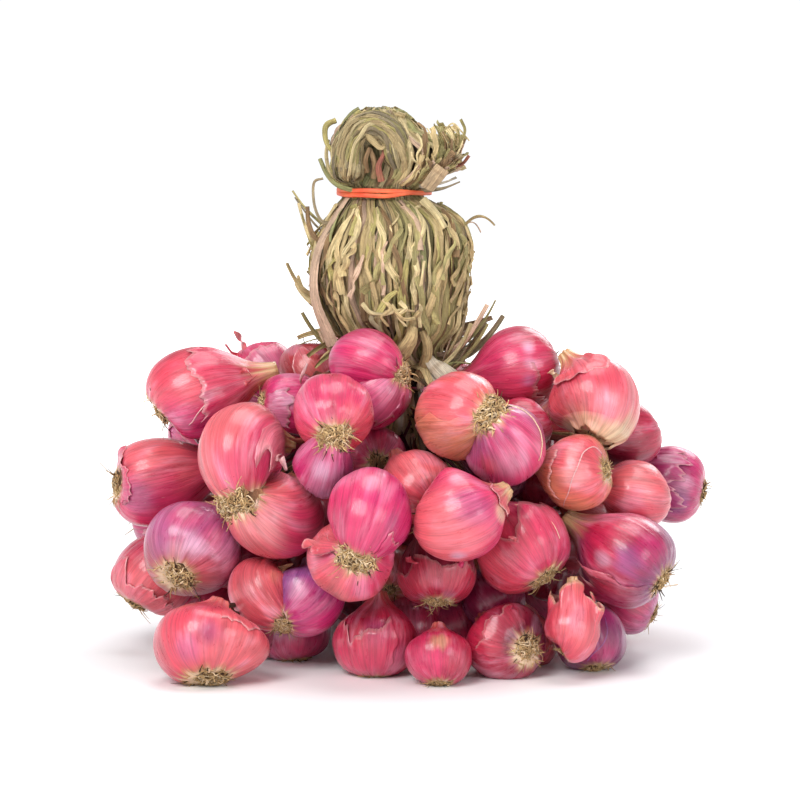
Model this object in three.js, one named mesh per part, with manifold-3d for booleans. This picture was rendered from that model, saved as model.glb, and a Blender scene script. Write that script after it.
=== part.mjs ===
// A market bunch of pink shallots tied by its own dried leaves. The bulbs hang in a mound round their
// gathered stems, and the leaves stand up as a fat sheaf that folds over into a knot, held by a doubled
// rubber band.
// Millimetres, +Z up. The front faces -Y, and the bunch stands on the plane z = 0.
import * as THREE from "three";
import { mergeVertices } from "three/addons/utils/BufferGeometryUtils.js";
import Module from "manifold-3d";

const wasm = await Module();
wasm.setup();
const degrees = Math.PI / 180;

const colours = { skin: "#c8465f", salmon: "#d9705f", plum: "#a8508c", leaf: "#a79a6a", band: "#f2703c" };

// Where the front bulbs are judged from: the picture plane stands upright through the middle of the bunch.
const viewer = { distance: 1100, tilt: 5.6 * degrees, aimHeight: 87, floorLine: 100 };

// The bulbs that show from the front. at: across and up on the picture plane, then depth behind its middle.
// belly: radius as seen. length: root to neck tip, in radii. root: which way the root plate faces, as a turn
// from the front towards the right and a lift above level. wide: breadth across, where it isn't round.
// twin: a second clove on the same root plate, by its belly, the angle on the root's face at which it sits
// (0 right, 90 up) and how far apart the two stand, as a share of their radii.
const frontBulbs = [
  { at: [-70, 98, -10], belly: 16.2, length: 2.7, root: [-82, -24] },
  { at: [-47, 105, 26], belly: 12.8, length: 2.4, root: [-150, 40], tint: "plum" },
  { at: [-34, 108, 16], belly: 11.4, length: 2.2, root: [-160, 50] },
  { at: [-41, 99, -14], belly: 11.8, length: 2.8, root: [-74, 2] },
  { at: [-10, 98, -30], belly: 13.8, length: 2.2, root: [58, 10], twin: [11.6, 110, 0.44], tint: "plum" },
  { at: [-85, 73, -6], belly: 15.6, length: 2.9, root: [-80, -8] },
  { at: [-50, 82, -54], belly: 15.4, length: 2.3, root: [-30, -20], twin: [16, -72, 0.76], tint: "salmon" },
  { at: [-26, 87.5, -56], belly: 14.4, length: 2.3, root: [6, -4], twin: [10.4, -100, 0.76] },
  { at: [-70, 49, -38], belly: 17.4, length: 2.2, root: [-26, -36], tint: "plum" },
  { at: [-84, 40, -8], belly: 14.2, length: 2.5, root: [-76, -50] },
  { at: [-62, 17, -58], belly: 16.8, length: 2.1, root: [0, -56], wide: 1.2, stands: true },
  { at: [-37, 31, -52], belly: 13.2, length: 2.3, root: [-12, -48], twin: [11.4, 165, 0.66] },
  { at: [-36, 11, -36], belly: 12.8, length: 2.3, root: [-10, -75], tint: "plum", stands: true },
  { at: [-9, 65, -66], belly: 15.2, length: 2.3, root: [-6, -24], twin: [15.2, -112, 0.64] },
  { at: [-9, 17, -54], belly: 14.5, length: 2.4, root: [-5, -72], stands: true },
  { at: [14, 12, -70], belly: 12, length: 2.3, root: [0, -60], stands: true },
  { at: [3, 71, -44], belly: 12.8, length: 2.4, root: [35, -25], tint: "salmon" },
  { at: [-3, 83, -30], belly: 12, length: 2.4, root: [10, -5], tint: "plum" },
  { at: [21, 61, -62], belly: 16.6, length: 2.15, root: [-108, -6] },
  { at: [14, 40, -48], belly: 13.6, length: 2.4, root: [4, -60] },
  { at: [23, 89, -50], belly: 15.4, length: 2.2, root: [12, 24], twin: [14.8, -38, 0.64], tint: "salmon" },
  { at: [42, 110, -4], belly: 14.8, length: 2.4, root: [82, 18] },
  { at: [64, 97, -24], belly: 16.2, length: 2.2, root: [-6, -58], tint: "salmon" },
  { at: [46, 92, -26], belly: 10, length: 2.5, root: [40, 10] },
  { at: [59, 73, -46], belly: 13.3, length: 2.3, root: [62, 4], tint: "salmon" },
  { at: [80, 84, -4], belly: 12.4, length: 2.4, root: [60, 10] },
  { at: [93, 73, 4], belly: 13.4, length: 2.4, root: [84, -14], tint: "plum" },
  { at: [81, 67, -24], belly: 12.6, length: 2.4, root: [50, 0] },
  { at: [78, 50, -44], belly: 16.8, length: 2.5, root: [62, -28], tint: "plum" },
  { at: [43, 48, -60], belly: 16.6, length: 2.3, root: [46, -42] },
  { at: [37, 16, -56], belly: 14.5, length: 2.2, root: [36, -8], stands: true },
  { at: [57, 21, -62], belly: 9.8, length: 3.3, root: [-50, -62] },
  { at: [61, 13, -44], belly: 12.6, length: 2.4, root: [30, -60], tint: "plum", stands: true },
  { at: [50, 10, -40], belly: 9.8, length: 2.4, root: [10, -70], stands: true },
  { at: [79, 31, -18], belly: 11.4, length: 2.4, root: [80, -30] },
];

// The bulbs round the back: x, y, z of the belly, its radius, and the length in radii. Their roots face
// straight out from the heart of the mound.
const backBulbs = [
  { at: [-70, 8, 15], belly: 14.5, length: 2.4, stands: true },
  { at: [-48, 42, 15], belly: 15.5, length: 2.4, stands: true },
  { at: [-17, 56, 15], belly: 15.5, length: 2.4, stands: true },
  { at: [17, 58, 15], belly: 15.5, length: 2.4, stands: true },
  { at: [49, 43, 15], belly: 15.5, length: 2.4, stands: true },
  { at: [72, 14, 15], belly: 14, length: 2.4, stands: true },
  { at: [-82, 28, 44], belly: 15.5, length: 2.5 },
  { at: [-55, 56, 45], belly: 16, length: 2.5 },
  { at: [-20, 68, 46], belly: 16.5, length: 2.5 },
  { at: [15, 70, 45], belly: 16.5, length: 2.5 },
  { at: [49, 57, 46], belly: 16, length: 2.5 },
  { at: [78, 34, 45], belly: 15, length: 2.5 },
  { at: [-66, 38, 76], belly: 15, length: 2.6 },
  { at: [-36, 56, 78], belly: 15, length: 2.6 },
  { at: [-2, 62, 79], belly: 15.5, length: 2.6 },
  { at: [32, 56, 78], belly: 15, length: 2.6 },
  { at: [64, 38, 76], belly: 14.5, length: 2.6 },
  { at: [-14, 38, 99], belly: 13, length: 2.4 },
  { at: [22, 36, 85], belly: 10, length: 2.3 },
];

// The small bulbs inside the mound, which hang close on the gathered stems and are one body with them.
const innerBulbs = [
  { at: [-44, -2, 47], belly: 12.5 },
  { at: [-38, 6, 74], belly: 12 },
  { at: [46, 8, 46], belly: 12.5 },
  { at: [44, 2, 74], belly: 11.5 },
  { at: [-28, 28, 54], belly: 12 },
  { at: [28, 28, 56], belly: 12.5 },
  { at: [-24, -24, 48], belly: 12 },
  { at: [2, -26, 44], belly: 11.5 },
  { at: [28, -22, 52], belly: 12 },
  { at: [0, 34, 34], belly: 12 },
  { at: [32, -8, 24], belly: 12.5 },
  { at: [-14, 2, 20], belly: 12.5 },
  { at: [-38, 10, 20], belly: 11.5 },
  { at: [22, 18, 20], belly: 12 },
  { at: [-60, -14, 32], belly: 10 },
  { at: [8, -38, 36], belly: 10 },
  { at: [-4, -28, 20], belly: 10 },
  { at: [50, -26, 28], belly: 9.5 },
  { at: [68, -8, 30], belly: 10 },
  { at: [46, -22, 58], belly: 10 },
];

// Back bulbs face out from the mound's heart, and necks bend towards where the stems gather.
const mound = { heart: new THREE.Vector3(0, 0, 62), gather: new THREE.Vector3(0, 0, 92) };

// A clove from root to neck: how far along its centreline each ring stands (0 root, 0.5 belly, 1 neck tip),
// and the ring's radius in bellies. The first two rings are the tuft of dry roots on the root plate. The
// bulbs inside the mound are plainer.
const cloveRings = [
  [-0.035, 0.2],
  [0.0, 0.3],
  [0.055, 0.54],
  [0.2, 0.82],
  [0.5, 1.0],
  [0.65, 0.91],
  [0.77, 0.67],
  [0.88, 0.31],
  [1.0, 0.13],
];
const innerRings = [
  [0.0, 0.35],
  [0.14, 0.78],
  [0.5, 1.0],
  [0.75, 0.7],
  [1.0, 0.15],
];
const clove = {
  rootToBelly: 0.85,
  twinRoot: 0.82,
  neckBend: 0.4,
  twinNeck: 0.35,
  frontSides: 10,
  backSides: 8,
  innerSides: 6,
};
const stalk = { start: 1.5, radius: 2.6, sides: 4, insideStems: 8 };

// How the bulbs settle: the gap between them, how deep those that stand are cut flat by the ground, and how
// strongly each is drawn home, which fades out at the given share of the rounds.
const settling = {
  gap: 0.45,
  sink: 0.9,
  rounds: 500,
  hold: 0.03,
  depthHold: 0.012,
  fade: 0.625,
  innerYields: 1.6,
};

// A point that shows at across and up on the picture plane, moved along the line of sight to a depth, and the
// scale at which things there are seen.
function placeSeen([across, up, depth]) {
  const along = new THREE.Vector3(0, Math.cos(viewer.tilt), -Math.sin(viewer.tilt));
  const above = new THREE.Vector3(0, Math.sin(viewer.tilt), Math.cos(viewer.tilt));
  const eye = new THREE.Vector3(0, 0, viewer.aimHeight).addScaledVector(along, -viewer.distance);
  const shown = new THREE.Vector3(across, 0, viewer.aimHeight).addScaledVector(above, up - viewer.floorLine);
  const sight = shown.sub(eye);
  const scale = (depth - eye.y) / sight.y;
  return { point: eye.addScaledVector(sight, scale), scale };
}

function facing([turn, lift]) {
  const level = Math.cos(lift * degrees);
  return new THREE.Vector3(
    Math.sin(turn * degrees) * level,
    -Math.cos(turn * degrees) * level,
    Math.sin(lift * degrees),
  );
}

// The point at share t of a clove's centreline, a parabola from root through belly to neck tip.
function alongClove({ root, belly, tip }, t) {
  const bend = belly.clone().multiplyScalar(2).addScaledVector(root, -0.5).addScaledVector(tip, -0.5);
  return root
    .clone()
    .multiplyScalar((1 - t) ** 2)
    .addScaledVector(bend, 2 * t * (1 - t))
    .addScaledVector(tip, t * t);
}

// A bulb's cloves, each with its radius and the three points of its centreline, measured from the main belly.
function growCloves({ belly, length, twin }, out, inward) {
  const neckWay = out.clone().negate().lerp(inward, clove.neckBend).normalize();
  const neckLength = (length - clove.rootToBelly) * belly;
  const main = { radius: belly, belly: new THREE.Vector3() };
  if (!twin) {
    main.root = out.clone().multiplyScalar(clove.rootToBelly * belly);
    main.tip = neckWay.clone().multiplyScalar(neckLength);
    return [main];
  }
  const right = new THREE.Vector3(0, 0, 1).cross(out).normalize();
  const above = out.clone().cross(right);
  const [twinBelly, beside, apart] = twin;
  const offset = right.multiplyScalar(Math.cos(beside * degrees));
  offset.addScaledVector(above, Math.sin(beside * degrees)).multiplyScalar(apart * (belly + twinBelly));
  const share = twinBelly ** 3 / (belly ** 3 + twinBelly ** 3);
  const other = { radius: twinBelly, belly: offset.clone() };
  const root = offset.clone().multiplyScalar(share);
  root.addScaledVector(out, clove.twinRoot * Math.max(belly, twinBelly));
  for (const each of [main, other]) {
    const spread = each.belly.clone().addScaledVector(offset, -share).multiplyScalar(clove.twinNeck - 1);
    each.root = root.clone();
    each.tip = each.belly.clone().add(spread).addScaledVector(neckWay, neckLength * (each.radius / belly));
  }
  return [main, other];
}

// An oval of points round a centre, by the two ways it lies in and its half sizes along them.
function ringOf(sides, centre, one, other, oneHalf, otherHalf) {
  return Array.from({ length: sides }, (_, side) => {
    const angle = (2 * Math.PI * side) / sides;
    const point = centre.clone().addScaledVector(one, Math.cos(angle) * oneHalf);
    return point.addScaledVector(other, Math.sin(angle) * otherHalf);
  });
}

// A closed skin over rings of points, which run from the first cap to the last.
function closedRings(rings, firstCap, lastCap) {
  const sides = rings[0].length;
  const points = [...rings.flat(), firstCap, lastCap];
  const faces = [];
  const first = points.length - 2;
  const at = (ring, side) => ring * sides + (side % sides);
  for (let side = 0; side < sides; side++) {
    faces.push(first, at(0, side + 1), at(0, side));
    faces.push(first + 1, at(rings.length - 1, side), at(rings.length - 1, side + 1));
    for (let ring = 0; ring < rings.length - 1; ring++) {
      faces.push(at(ring, side), at(ring, side + 1), at(ring + 1, side + 1));
      faces.push(at(ring, side), at(ring + 1, side + 1), at(ring + 1, side));
    }
  }
  return new THREE.BufferGeometry().setFromPoints(points).setIndex(faces);
}

// The level direction square to a clove, which its rings start from.
function sidewaysOf(lobe) {
  const across = new THREE.Vector3(0, 0, 1).cross(lobe.belly.clone().sub(lobe.root));
  const upright = across.length() < 1;
  return upright ? new THREE.Vector3(1, 0, 0) : across.normalize();
}

function cloveGeometry(lobe, sides, wide, profile) {
  let across = sidewaysOf(lobe);
  const rings = profile.map(([t, radius]) => {
    const centre = alongClove(lobe, t);
    const tangent = alongClove(lobe, t + 0.01).sub(alongClove(lobe, t - 0.01)).normalize();
    across = across.addScaledVector(tangent, -across.dot(tangent)).normalize();
    const reach = radius * lobe.radius;
    return ringOf(sides, centre, across, tangent.clone().cross(across), reach * wide, reach);
  });
  return closedRings(rings, alongClove(lobe, profile[0][0]), lobe.tip.clone());
}

function solidOf(geometry) {
  const bare = new THREE.BufferGeometry().setAttribute("position", geometry.attributes.position);
  const merged = mergeVertices(bare.setIndex(geometry.index), 1e-4);
  return new wasm.Manifold(new wasm.Mesh({
    numProp: 3,
    vertProperties: new Float32Array(merged.attributes.position.array),
    triVerts: new Uint32Array(merged.index.array),
  }));
}

function geometryOf(solid) {
  const mesh = solid.getMesh();
  return new THREE.BufferGeometry()
    .setAttribute("position", new THREE.BufferAttribute(mesh.vertProperties, mesh.numProp))
    .setIndex(new THREE.BufferAttribute(mesh.triVerts, 1));
}

// Balls that hold a clove, for pushing bulbs apart: share along the centreline, and radius in bellies.
const cloveBalls = [
  [0.5, 1.0],
  [0.65, 0.93],
  [0.72, 0.78],
  [0.79, 0.6],
  [0.86, 0.4],
  [0.93, 0.27],
  [1.0, 0.17],
];
const bellyBalls = 2;

function ballsOf(lobe, wide) {
  const sideways = sidewaysOf(lobe).multiplyScalar((wide - 1) * lobe.radius);
  const middle = new THREE.Vector3();
  const shifts = wide > 1 ? [middle, sideways, sideways.clone().negate()] : [middle];
  return cloveBalls.flatMap(([t, radius], number) =>
    (number < bellyBalls ? shifts : [middle]).map((shift) => ({
      centre: alongClove(lobe, t).add(shift),
      radius: radius * lobe.radius,
      neck: number >= bellyBalls,
    })),
  );
}

function makeBulb(name, row, lobes, point, sides) {
  const profile = row.inner ? innerRings : cloveRings;
  const parts = lobes.map((lobe) => cloveGeometry(lobe, sides, row.wide ?? 1, profile));
  const geometry = parts.length > 1 ? geometryOf(solidOf(parts[0]).add(solidOf(parts[1]))) : parts[0];
  geometry.computeBoundingBox();
  const balls = lobes.flatMap((lobe) => ballsOf(lobe, row.wide ?? 1));
  return {
    name,
    home: point.clone(),
    place: point.clone(),
    lowest: geometry.boundingBox.min.z,
    stands: Boolean(row.stands),
    inner: Boolean(row.inner),
    tint: row.tint ?? "skin",
    geometry,
    balls,
    reach: settling.gap + Math.max(...balls.map((ball) => ball.centre.length() + ball.radius)),
  };
}

function makeOuterBulb(row, number, point, scale, out) {
  const sized = { ...row, belly: row.belly * scale };
  if (row.twin) sized.twin = row.twin.with(0, row.twin[0] * scale);
  const lobes = growCloves(sized, out, mound.gather.clone().sub(point).normalize());
  const name = `shallot_${String(number + 1).padStart(2, "0")}`;
  const sides = number < frontBulbs.length ? clove.frontSides : clove.backSides;
  return makeBulb(name, sized, lobes, point, sides);
}

// An inner bulb hangs on a stalk of its own from the gathered stems.
function makeInnerBulb(row) {
  const point = new THREE.Vector3(...row.at);
  const stem = new THREE.Vector3(0, 0, (point.z + mound.heart.z) / 2).sub(point);
  const way = stem.clone().normalize();
  const root = way.clone().multiplyScalar(-clove.rootToBelly * row.belly);
  const tip = way.clone().multiplyScalar(stalk.start * row.belly);
  const lobe = { radius: row.belly, belly: new THREE.Vector3(), root, tip };
  const bulb = makeBulb("inner", { ...row, inner: true }, [lobe], point, clove.innerSides);
  const side = sidewaysOf(lobe);
  const above = way.clone().cross(side);
  const rings = [way, stem].map((end) => ringOf(stalk.sides, end, side, above, stalk.radius, stalk.radius));
  bulb.geometry = geometryOf(solidOf(bulb.geometry).add(solidOf(closedRings(rings, way, stem))));
  const free = stem.length() - stalk.insideStems;
  for (let along = stalk.start * row.belly; along < free; along += 2 * stalk.radius)
    bulb.balls.push({ centre: way.clone().multiplyScalar(along), radius: stalk.radius, neck: true });
  return bulb;
}

const bulbs = [
  ...frontBulbs.map((row, number) => {
    const { point, scale } = placeSeen(row.at);
    return makeOuterBulb(row, number, point, scale, facing(row.root));
  }),
  ...backBulbs.map((row, number) => {
    const point = new THREE.Vector3(...row.at);
    const out = point.clone().sub(mound.heart).normalize();
    return makeOuterBulb(row, frontBulbs.length + number, point, 1, out);
  }),
  ...innerBulbs.map(makeInnerBulb),
];

// The gathered stems inside the mound: height and radius, on the middle axis.
const stemProfile = [
  [36, 4],
  [46, 7],
  [58, 9.5],
  [74, 9.5],
  [91.7, 10],
];
const stemSides = 14;

// The stems, and the foot of the leaf sheaf above them, as balls that the bulbs keep clear of: height and
// radius.
const stemBalls = [
  [40, 6],
  [50, 9],
  [60, 10],
  [70, 10.5],
  [80, 11],
  [90, 12.5],
  [98, 14],
  [105, 18],
  [113, 22.5],
  [122, 27],
].map(([z, radius]) => ({ centre: new THREE.Vector3(0, 0, z), radius }));

// Pushes two sets of balls apart by half of each overlap, and says how deep the worst one was.
function part(one, other, oneMoves, otherMoves) {
  const between = one.place.clone().sub(other.place);
  if (between.length() > one.reach + other.reach) return 0;
  const necksMeet = one.inner && (other.inner || other.stems);
  let worst = 0;
  for (const a of one.balls)
    for (const b of other.balls) {
      if (necksMeet && (a.neck || b.neck)) continue;
      between.copy(b.centre).add(other.place).sub(a.centre).sub(one.place);
      const deep = a.radius + b.radius + settling.gap - between.length();
      if (deep <= 0) continue;
      worst = Math.max(worst, deep);
      between.normalize().multiplyScalar(deep / (oneMoves + otherMoves));
      one.place.addScaledVector(between, -oneMoves);
      other.place.addScaledVector(between, otherMoves);
    }
  return worst;
}

// Lets the bulbs find room: each is pushed off its neighbours, the stems and the ground, and is drawn back
// towards its own place, ever less. Those that stand keep their lowest point just under the ground.
function settle() {
  const core = { balls: stemBalls, place: new THREE.Vector3(), stems: true, reach: Infinity };
  const yields = (bulb) => (bulb.inner ? settling.innerYields : 1);
  let worst = 0;
  for (let round = 0; round < settling.rounds; round++) {
    const draw = Math.max(0, 1 - round / (settling.fade * settling.rounds));
    worst = 0;
    bulbs.forEach((bulb, number) => {
      bulb.place.x += (bulb.home.x - bulb.place.x) * settling.hold * draw;
      bulb.place.y += (bulb.home.y - bulb.place.y) * settling.depthHold * draw;
      bulb.place.z += (bulb.home.z - bulb.place.z) * settling.hold * draw;
      for (const other of bulbs.slice(number + 1))
        worst = Math.max(worst, part(bulb, other, yields(bulb), yields(other)));
      worst = Math.max(worst, part(bulb, core, 1, 0));
      const ground = -settling.sink - bulb.lowest;
      if (bulb.stands || bulb.place.z < ground) bulb.place.z = ground;
    });
  }
  return worst;
}
if (settle() > settling.gap) throw new Error("the bulbs haven't found room");

// The gathered stems, one body with the bulbs that hang close on them.
function growStems() {
  const [right, back] = [new THREE.Vector3(1, 0, 0), new THREE.Vector3(0, 1, 0)];
  const centres = stemProfile.map(([z]) => new THREE.Vector3(0, 0, z));
  const rings = centres.map((centre, number) => {
    const radius = stemProfile[number][1];
    return ringOf(stemSides, centre, right, back, radius, radius);
  });
  const stems = solidOf(closedRings(rings, centres[0], centres.at(-1)));
  const hanging = bulbs.filter((bulb) => bulb.inner);
  const moved = (bulb) => solidOf(bulb.geometry).translate(bulb.place.toArray());
  return hanging.reduce((solid, bulb) => solid.add(moved(bulb)), stems);
}

// The sheaf of dried leaves, its outside folded into strips: height, how far its middle stands to the right,
// radius, and how deep the strips are folded there. It narrows to the waist under the rubber band.
const sheafRings = [
  [92, 3, 10, 0.4],
  [98, 1, 13, 0.8],
  [104.6, -2, 16.6, 1.2],
  [111.6, -1.5, 22, 1.5],
  [122, -3, 26, 1.6],
  [132.6, -3.5, 28, 1.6],
  [143, -3, 27.3, 1.5],
  [150.5, -2.6, 23.5, 1.2],
  [155.2, -4.4, 18.2, 0.8],
  [157.4, -5.5, 14.7, 0.3],
  [162.2, -5.5, 14.7, 0.3],
  [165.4, -3.6, 19, 0.9],
  [170.6, -2.2, 22, 1.4],
  [176.6, -2, 22, 1.4],
  [182.6, -3, 18.5, 1.2],
  [187.2, -5, 11.5, 0.8],
  [189.6, -6, 5, 0.3],
];
const sheaf = { strips: 18, columns: 54, twist: 0.35 };

function growSheaf() {
  const rings = sheafRings.map(([z, right, radius, fold], number) =>
    Array.from({ length: sheaf.columns }, (_, column) => {
      const angle = (2 * Math.PI * column) / sheaf.columns;
      const wave = Math.cos(sheaf.strips * angle + sheaf.twist * number);
      const reach = radius - fold * (0.5 - 0.5 * wave);
      return new THREE.Vector3(right + reach * Math.cos(angle), reach * Math.sin(angle), z);
    }),
  );
  const cap = ([z, right]) => new THREE.Vector3(right, 0, z);
  return solidOf(closedRings(rings, cap(sheafRings[0]), cap(sheafRings.at(-1))));
}

// The fold of leaves that arches over the knot's front: a bent tube, given by the arch's middle, its radius,
// the tube's breadth and depth, and the angles of its two feet.
const arch = {
  middle: new THREE.Vector3(-8.4, -11, 173.5),
  radius: 10.5,
  breadth: 5.5,
  depth: 7,
  feet: [-50, 230],
  steps: 16,
  sides: 10,
};

function growArch() {
  const [firstFoot, lastFoot] = arch.feet;
  const back = new THREE.Vector3(0, 1, 0);
  const ways = Array.from({ length: arch.steps + 1 }, (_, step) => {
    const turn = (firstFoot + ((lastFoot - firstFoot) * step) / arch.steps) * degrees;
    return new THREE.Vector3(Math.cos(turn), 0, Math.sin(turn));
  });
  const centres = ways.map((way) => arch.middle.clone().addScaledVector(way, arch.radius));
  const { sides, breadth, depth } = arch;
  const rings = ways.map((way, step) => ringOf(sides, centres[step], way, back, breadth, depth));
  return solidOf(closedRings(rings, centres[0], centres.at(-1)));
}

// Leaf ends that stand away from the sheaf: the angle round it (0 right, -90 front), the height they leave it
// at, how far out and up they end, how much they arch, their width, and how far they are turned on edge.
const blades = [
  { angle: 186, from: 108, out: 13, up: 10, arch: -3, width: 4, turn: 50 },
  { angle: 172, from: 107, out: 16, up: 1, arch: 3, width: 3.6, turn: -30 },
  { angle: 196, from: 104, out: 15, up: -1, arch: 4, width: 4, turn: 40 },
  { angle: 180, from: 126, out: 9, up: 9, arch: -3, width: 4.4, turn: 60 },
  { angle: 192, from: 138, out: 4, up: 28, arch: 0, width: 2.6, turn: 50 },
  { angle: 168, from: 146, out: 9, up: 14, arch: 2, width: 2.2, turn: 40 },
  { angle: -8, from: 104, out: 22, up: 13, arch: -4, width: 4, turn: 60 },
  { angle: 4, from: 110, out: 14, up: 12, arch: -4, width: 4.6, turn: 50 },
  { angle: -22, from: 104, out: 17, up: 17, arch: -3, width: 4.2, turn: -40 },
  { angle: 18, from: 106, out: 19, up: 9, arch: 3, width: 4, turn: 60 },
  { angle: -34, from: 101, out: 15, up: 14, arch: -3, width: 3.6, turn: 30 },
  { angle: 0, from: 144, out: 9, up: 4, arch: 6, width: 1.8, turn: 40 },
  { angle: -62, from: 99, out: 9, up: -5, arch: 2, width: 9, turn: 10 },
  { angle: 60, from: 104, out: 15, up: 8, arch: 3, width: 4, turn: 20 },
  { angle: 95, from: 106, out: 16, up: 5, arch: 4, width: 4.4, turn: -20 },
  { angle: 132, from: 106, out: 13, up: 10, arch: 2, width: 4, turn: 30 },
  { angle: -30, from: 168, out: 6, up: 9, arch: 1, width: 6.5, turn: 50 },
  { angle: -12, from: 172, out: 3, up: 13, arch: 1, width: 5, turn: 60 },
  { angle: 14, from: 176, out: 3, up: 11, arch: 1, width: 5, turn: -50 },
];
const blade = { thick: 1.1, inside: 4, tip: 0.45, steps: 4 };

// The sheaf's middle and radius at a height, from the rings either side.
function sheafAt(z) {
  const above = Math.max(1, sheafRings.findIndex(([height]) => height >= z));
  const [lower, upper] = [sheafRings[above - 1], sheafRings[above]];
  const share = (z - lower[0]) / (upper[0] - lower[0]);
  const between = (column) => lower[column] + (upper[column] - lower[column]) * share;
  return { right: between(1), radius: between(2) };
}

function growBlade({ angle, from, out, up, arch: lift, width, turn }) {
  const { right, radius } = sheafAt(from);
  const outward = new THREE.Vector3(Math.cos(angle * degrees), Math.sin(angle * degrees), 0);
  const side = new THREE.Vector3(-outward.y, outward.x, 0);
  const start = new THREE.Vector3(right, 0, from).addScaledVector(outward, radius - blade.inside);
  const along = (t) =>
    start
      .clone()
      .addScaledVector(outward, (out + blade.inside) * t)
      .add(new THREE.Vector3(0, 0, up * t * t + lift * 4 * t * (1 - t)));
  const rings = Array.from({ length: blade.steps + 1 }, (_, step) => {
    const t = step / blade.steps;
    const way = along(t + 0.01).sub(along(t - 0.01)).normalize();
    const broad = side.clone().applyAxisAngle(way, turn * degrees);
    const face = way.clone().cross(broad).normalize().multiplyScalar(blade.thick / 2);
    const half = broad.multiplyScalar((width / 2) * (1 - (1 - blade.tip) * t));
    const corner = (a, b) => along(t).addScaledVector(half, a).addScaledVector(face, b);
    return [corner(1, 1), corner(-1, 1), corner(-1, -1), corner(1, -1)];
  });
  return solidOf(closedRings(rings, along(0), along(1)));
}

// The rubber band: two rounds of it that cross on the waist, each raised at the back, lowered at the front
// and tilted sideways, or the other way about.
const band = {
  z: 159.8,
  right: -5.5,
  inside: 15.1,
  thick: 1.4,
  height: 1.5,
  apart: 0.55,
  tilt: 1.6,
  sides: 36,
};

function growBandRound(turn) {
  const corners = [[0, -0.5], [1, -0.5], [1, 0.5], [0, 0.5]];
  const points = [];
  const faces = [];
  for (let side = 0; side < band.sides; side++) {
    const angle = (2 * Math.PI * side) / band.sides;
    for (const [outer, high] of corners) {
      const reach = band.inside + band.thick * outer;
      const tilted = Math.tan(band.tilt * degrees) * reach * Math.cos(angle);
      const rise = turn * (band.apart * Math.sin(angle) + tilted);
      const z = rise + band.height * high;
      points.push(new THREE.Vector3(reach * Math.cos(angle), reach * Math.sin(angle), z));
    }
    for (let corner = 0; corner < 4; corner++) {
      const [a, b] = [side * 4 + corner, side * 4 + ((corner + 1) % 4)];
      const [c, d] = [a, b].map((index) => (index + 4) % (band.sides * 4));
      faces.push(a, d, b, a, c, d);
    }
  }
  const geometry = new THREE.BufferGeometry().setFromPoints(points).setIndex(faces);
  return solidOf(geometry.translate(band.right, 0, band.z));
}

const bunch = new THREE.Group();
function addPart(name, solid, colour, place = new THREE.Vector3()) {
  const material = new THREE.MeshStandardMaterial({ color: colour, roughness: 0.5, metalness: 0 });
  const mesh = new THREE.Mesh(geometryOf(solid), material);
  mesh.name = name;
  mesh.position.copy(place);
  bunch.add(mesh);
}

// The ground cuts the bulbs that stand on it flat.
for (const bulb of bulbs.filter((each) => !each.inner)) {
  const solid = solidOf(bulb.geometry).trimByPlane([0, 0, 1], -bulb.place.z);
  addPart(bulb.name, solid, colours[bulb.tint], bulb.place);
}

const leaves = blades.reduce((solid, each) => solid.add(growBlade(each)), growSheaf().add(growArch()));
addPart("stem_core", growStems(), colours.leaf);
addPart("leaf_bundle", leaves, colours.leaf);
addPart("rubber_band", growBandRound(1).add(growBandRound(-1)), colours.band);

// The origin lies on the ground under the middle of the whole bunch.
const middle = new THREE.Box3().setFromObject(bunch).getCenter(new THREE.Vector3());
bunch.position.set(-middle.x, -middle.y, 0);

export default bunch;
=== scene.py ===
# A market bunch of pink shallots, tied by its own dried leaves: papery bulbs in a mound, each with its
# tuft of dry roots, under a fat sheaf of straw-coloured leaves that folds over into a knot above a rubber
# band. Tables are in millimetres, +Z up, the front facing -Y. What is built is in metres.
import time

import bpy
import numpy as np
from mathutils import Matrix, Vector


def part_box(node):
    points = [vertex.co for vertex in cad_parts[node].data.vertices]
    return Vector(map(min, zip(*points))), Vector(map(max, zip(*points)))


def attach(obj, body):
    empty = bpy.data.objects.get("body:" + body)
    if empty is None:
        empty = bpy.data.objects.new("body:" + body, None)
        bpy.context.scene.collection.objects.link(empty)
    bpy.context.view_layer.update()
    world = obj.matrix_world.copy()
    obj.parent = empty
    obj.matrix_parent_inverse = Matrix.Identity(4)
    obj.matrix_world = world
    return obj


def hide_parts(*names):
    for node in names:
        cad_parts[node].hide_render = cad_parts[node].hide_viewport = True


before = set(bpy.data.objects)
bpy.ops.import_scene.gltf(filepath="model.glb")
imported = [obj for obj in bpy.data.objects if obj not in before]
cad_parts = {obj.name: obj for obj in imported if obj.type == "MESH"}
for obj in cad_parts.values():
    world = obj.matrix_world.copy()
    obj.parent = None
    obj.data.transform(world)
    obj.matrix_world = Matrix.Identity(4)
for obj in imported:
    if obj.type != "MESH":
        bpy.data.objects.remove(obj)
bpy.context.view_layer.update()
started = time.time()

mm = 0.001
up = np.array([0.0, 0.0, 1.0])

# Where the front bulbs are judged from: the picture plane stands upright through the middle of the bunch.
# The clip distances are in metres.
viewer = {
    "distance": 1100, "tilt": 5.6, "aimHeight": 87, "floorLine": 100, "lens": 141.4, "sensor": 36,
    "clip": (0.01, 20),
}

# The band's middle in the tables below. Its node's box tells how far the whole bunch was moved from there.
bandMiddle = np.array([-5.5, 0.0])
bandLow, bandHigh = (np.array(corner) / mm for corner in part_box("rubber_band"))
shift = (bandLow + bandHigh)[:2] / 2 - bandMiddle

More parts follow.
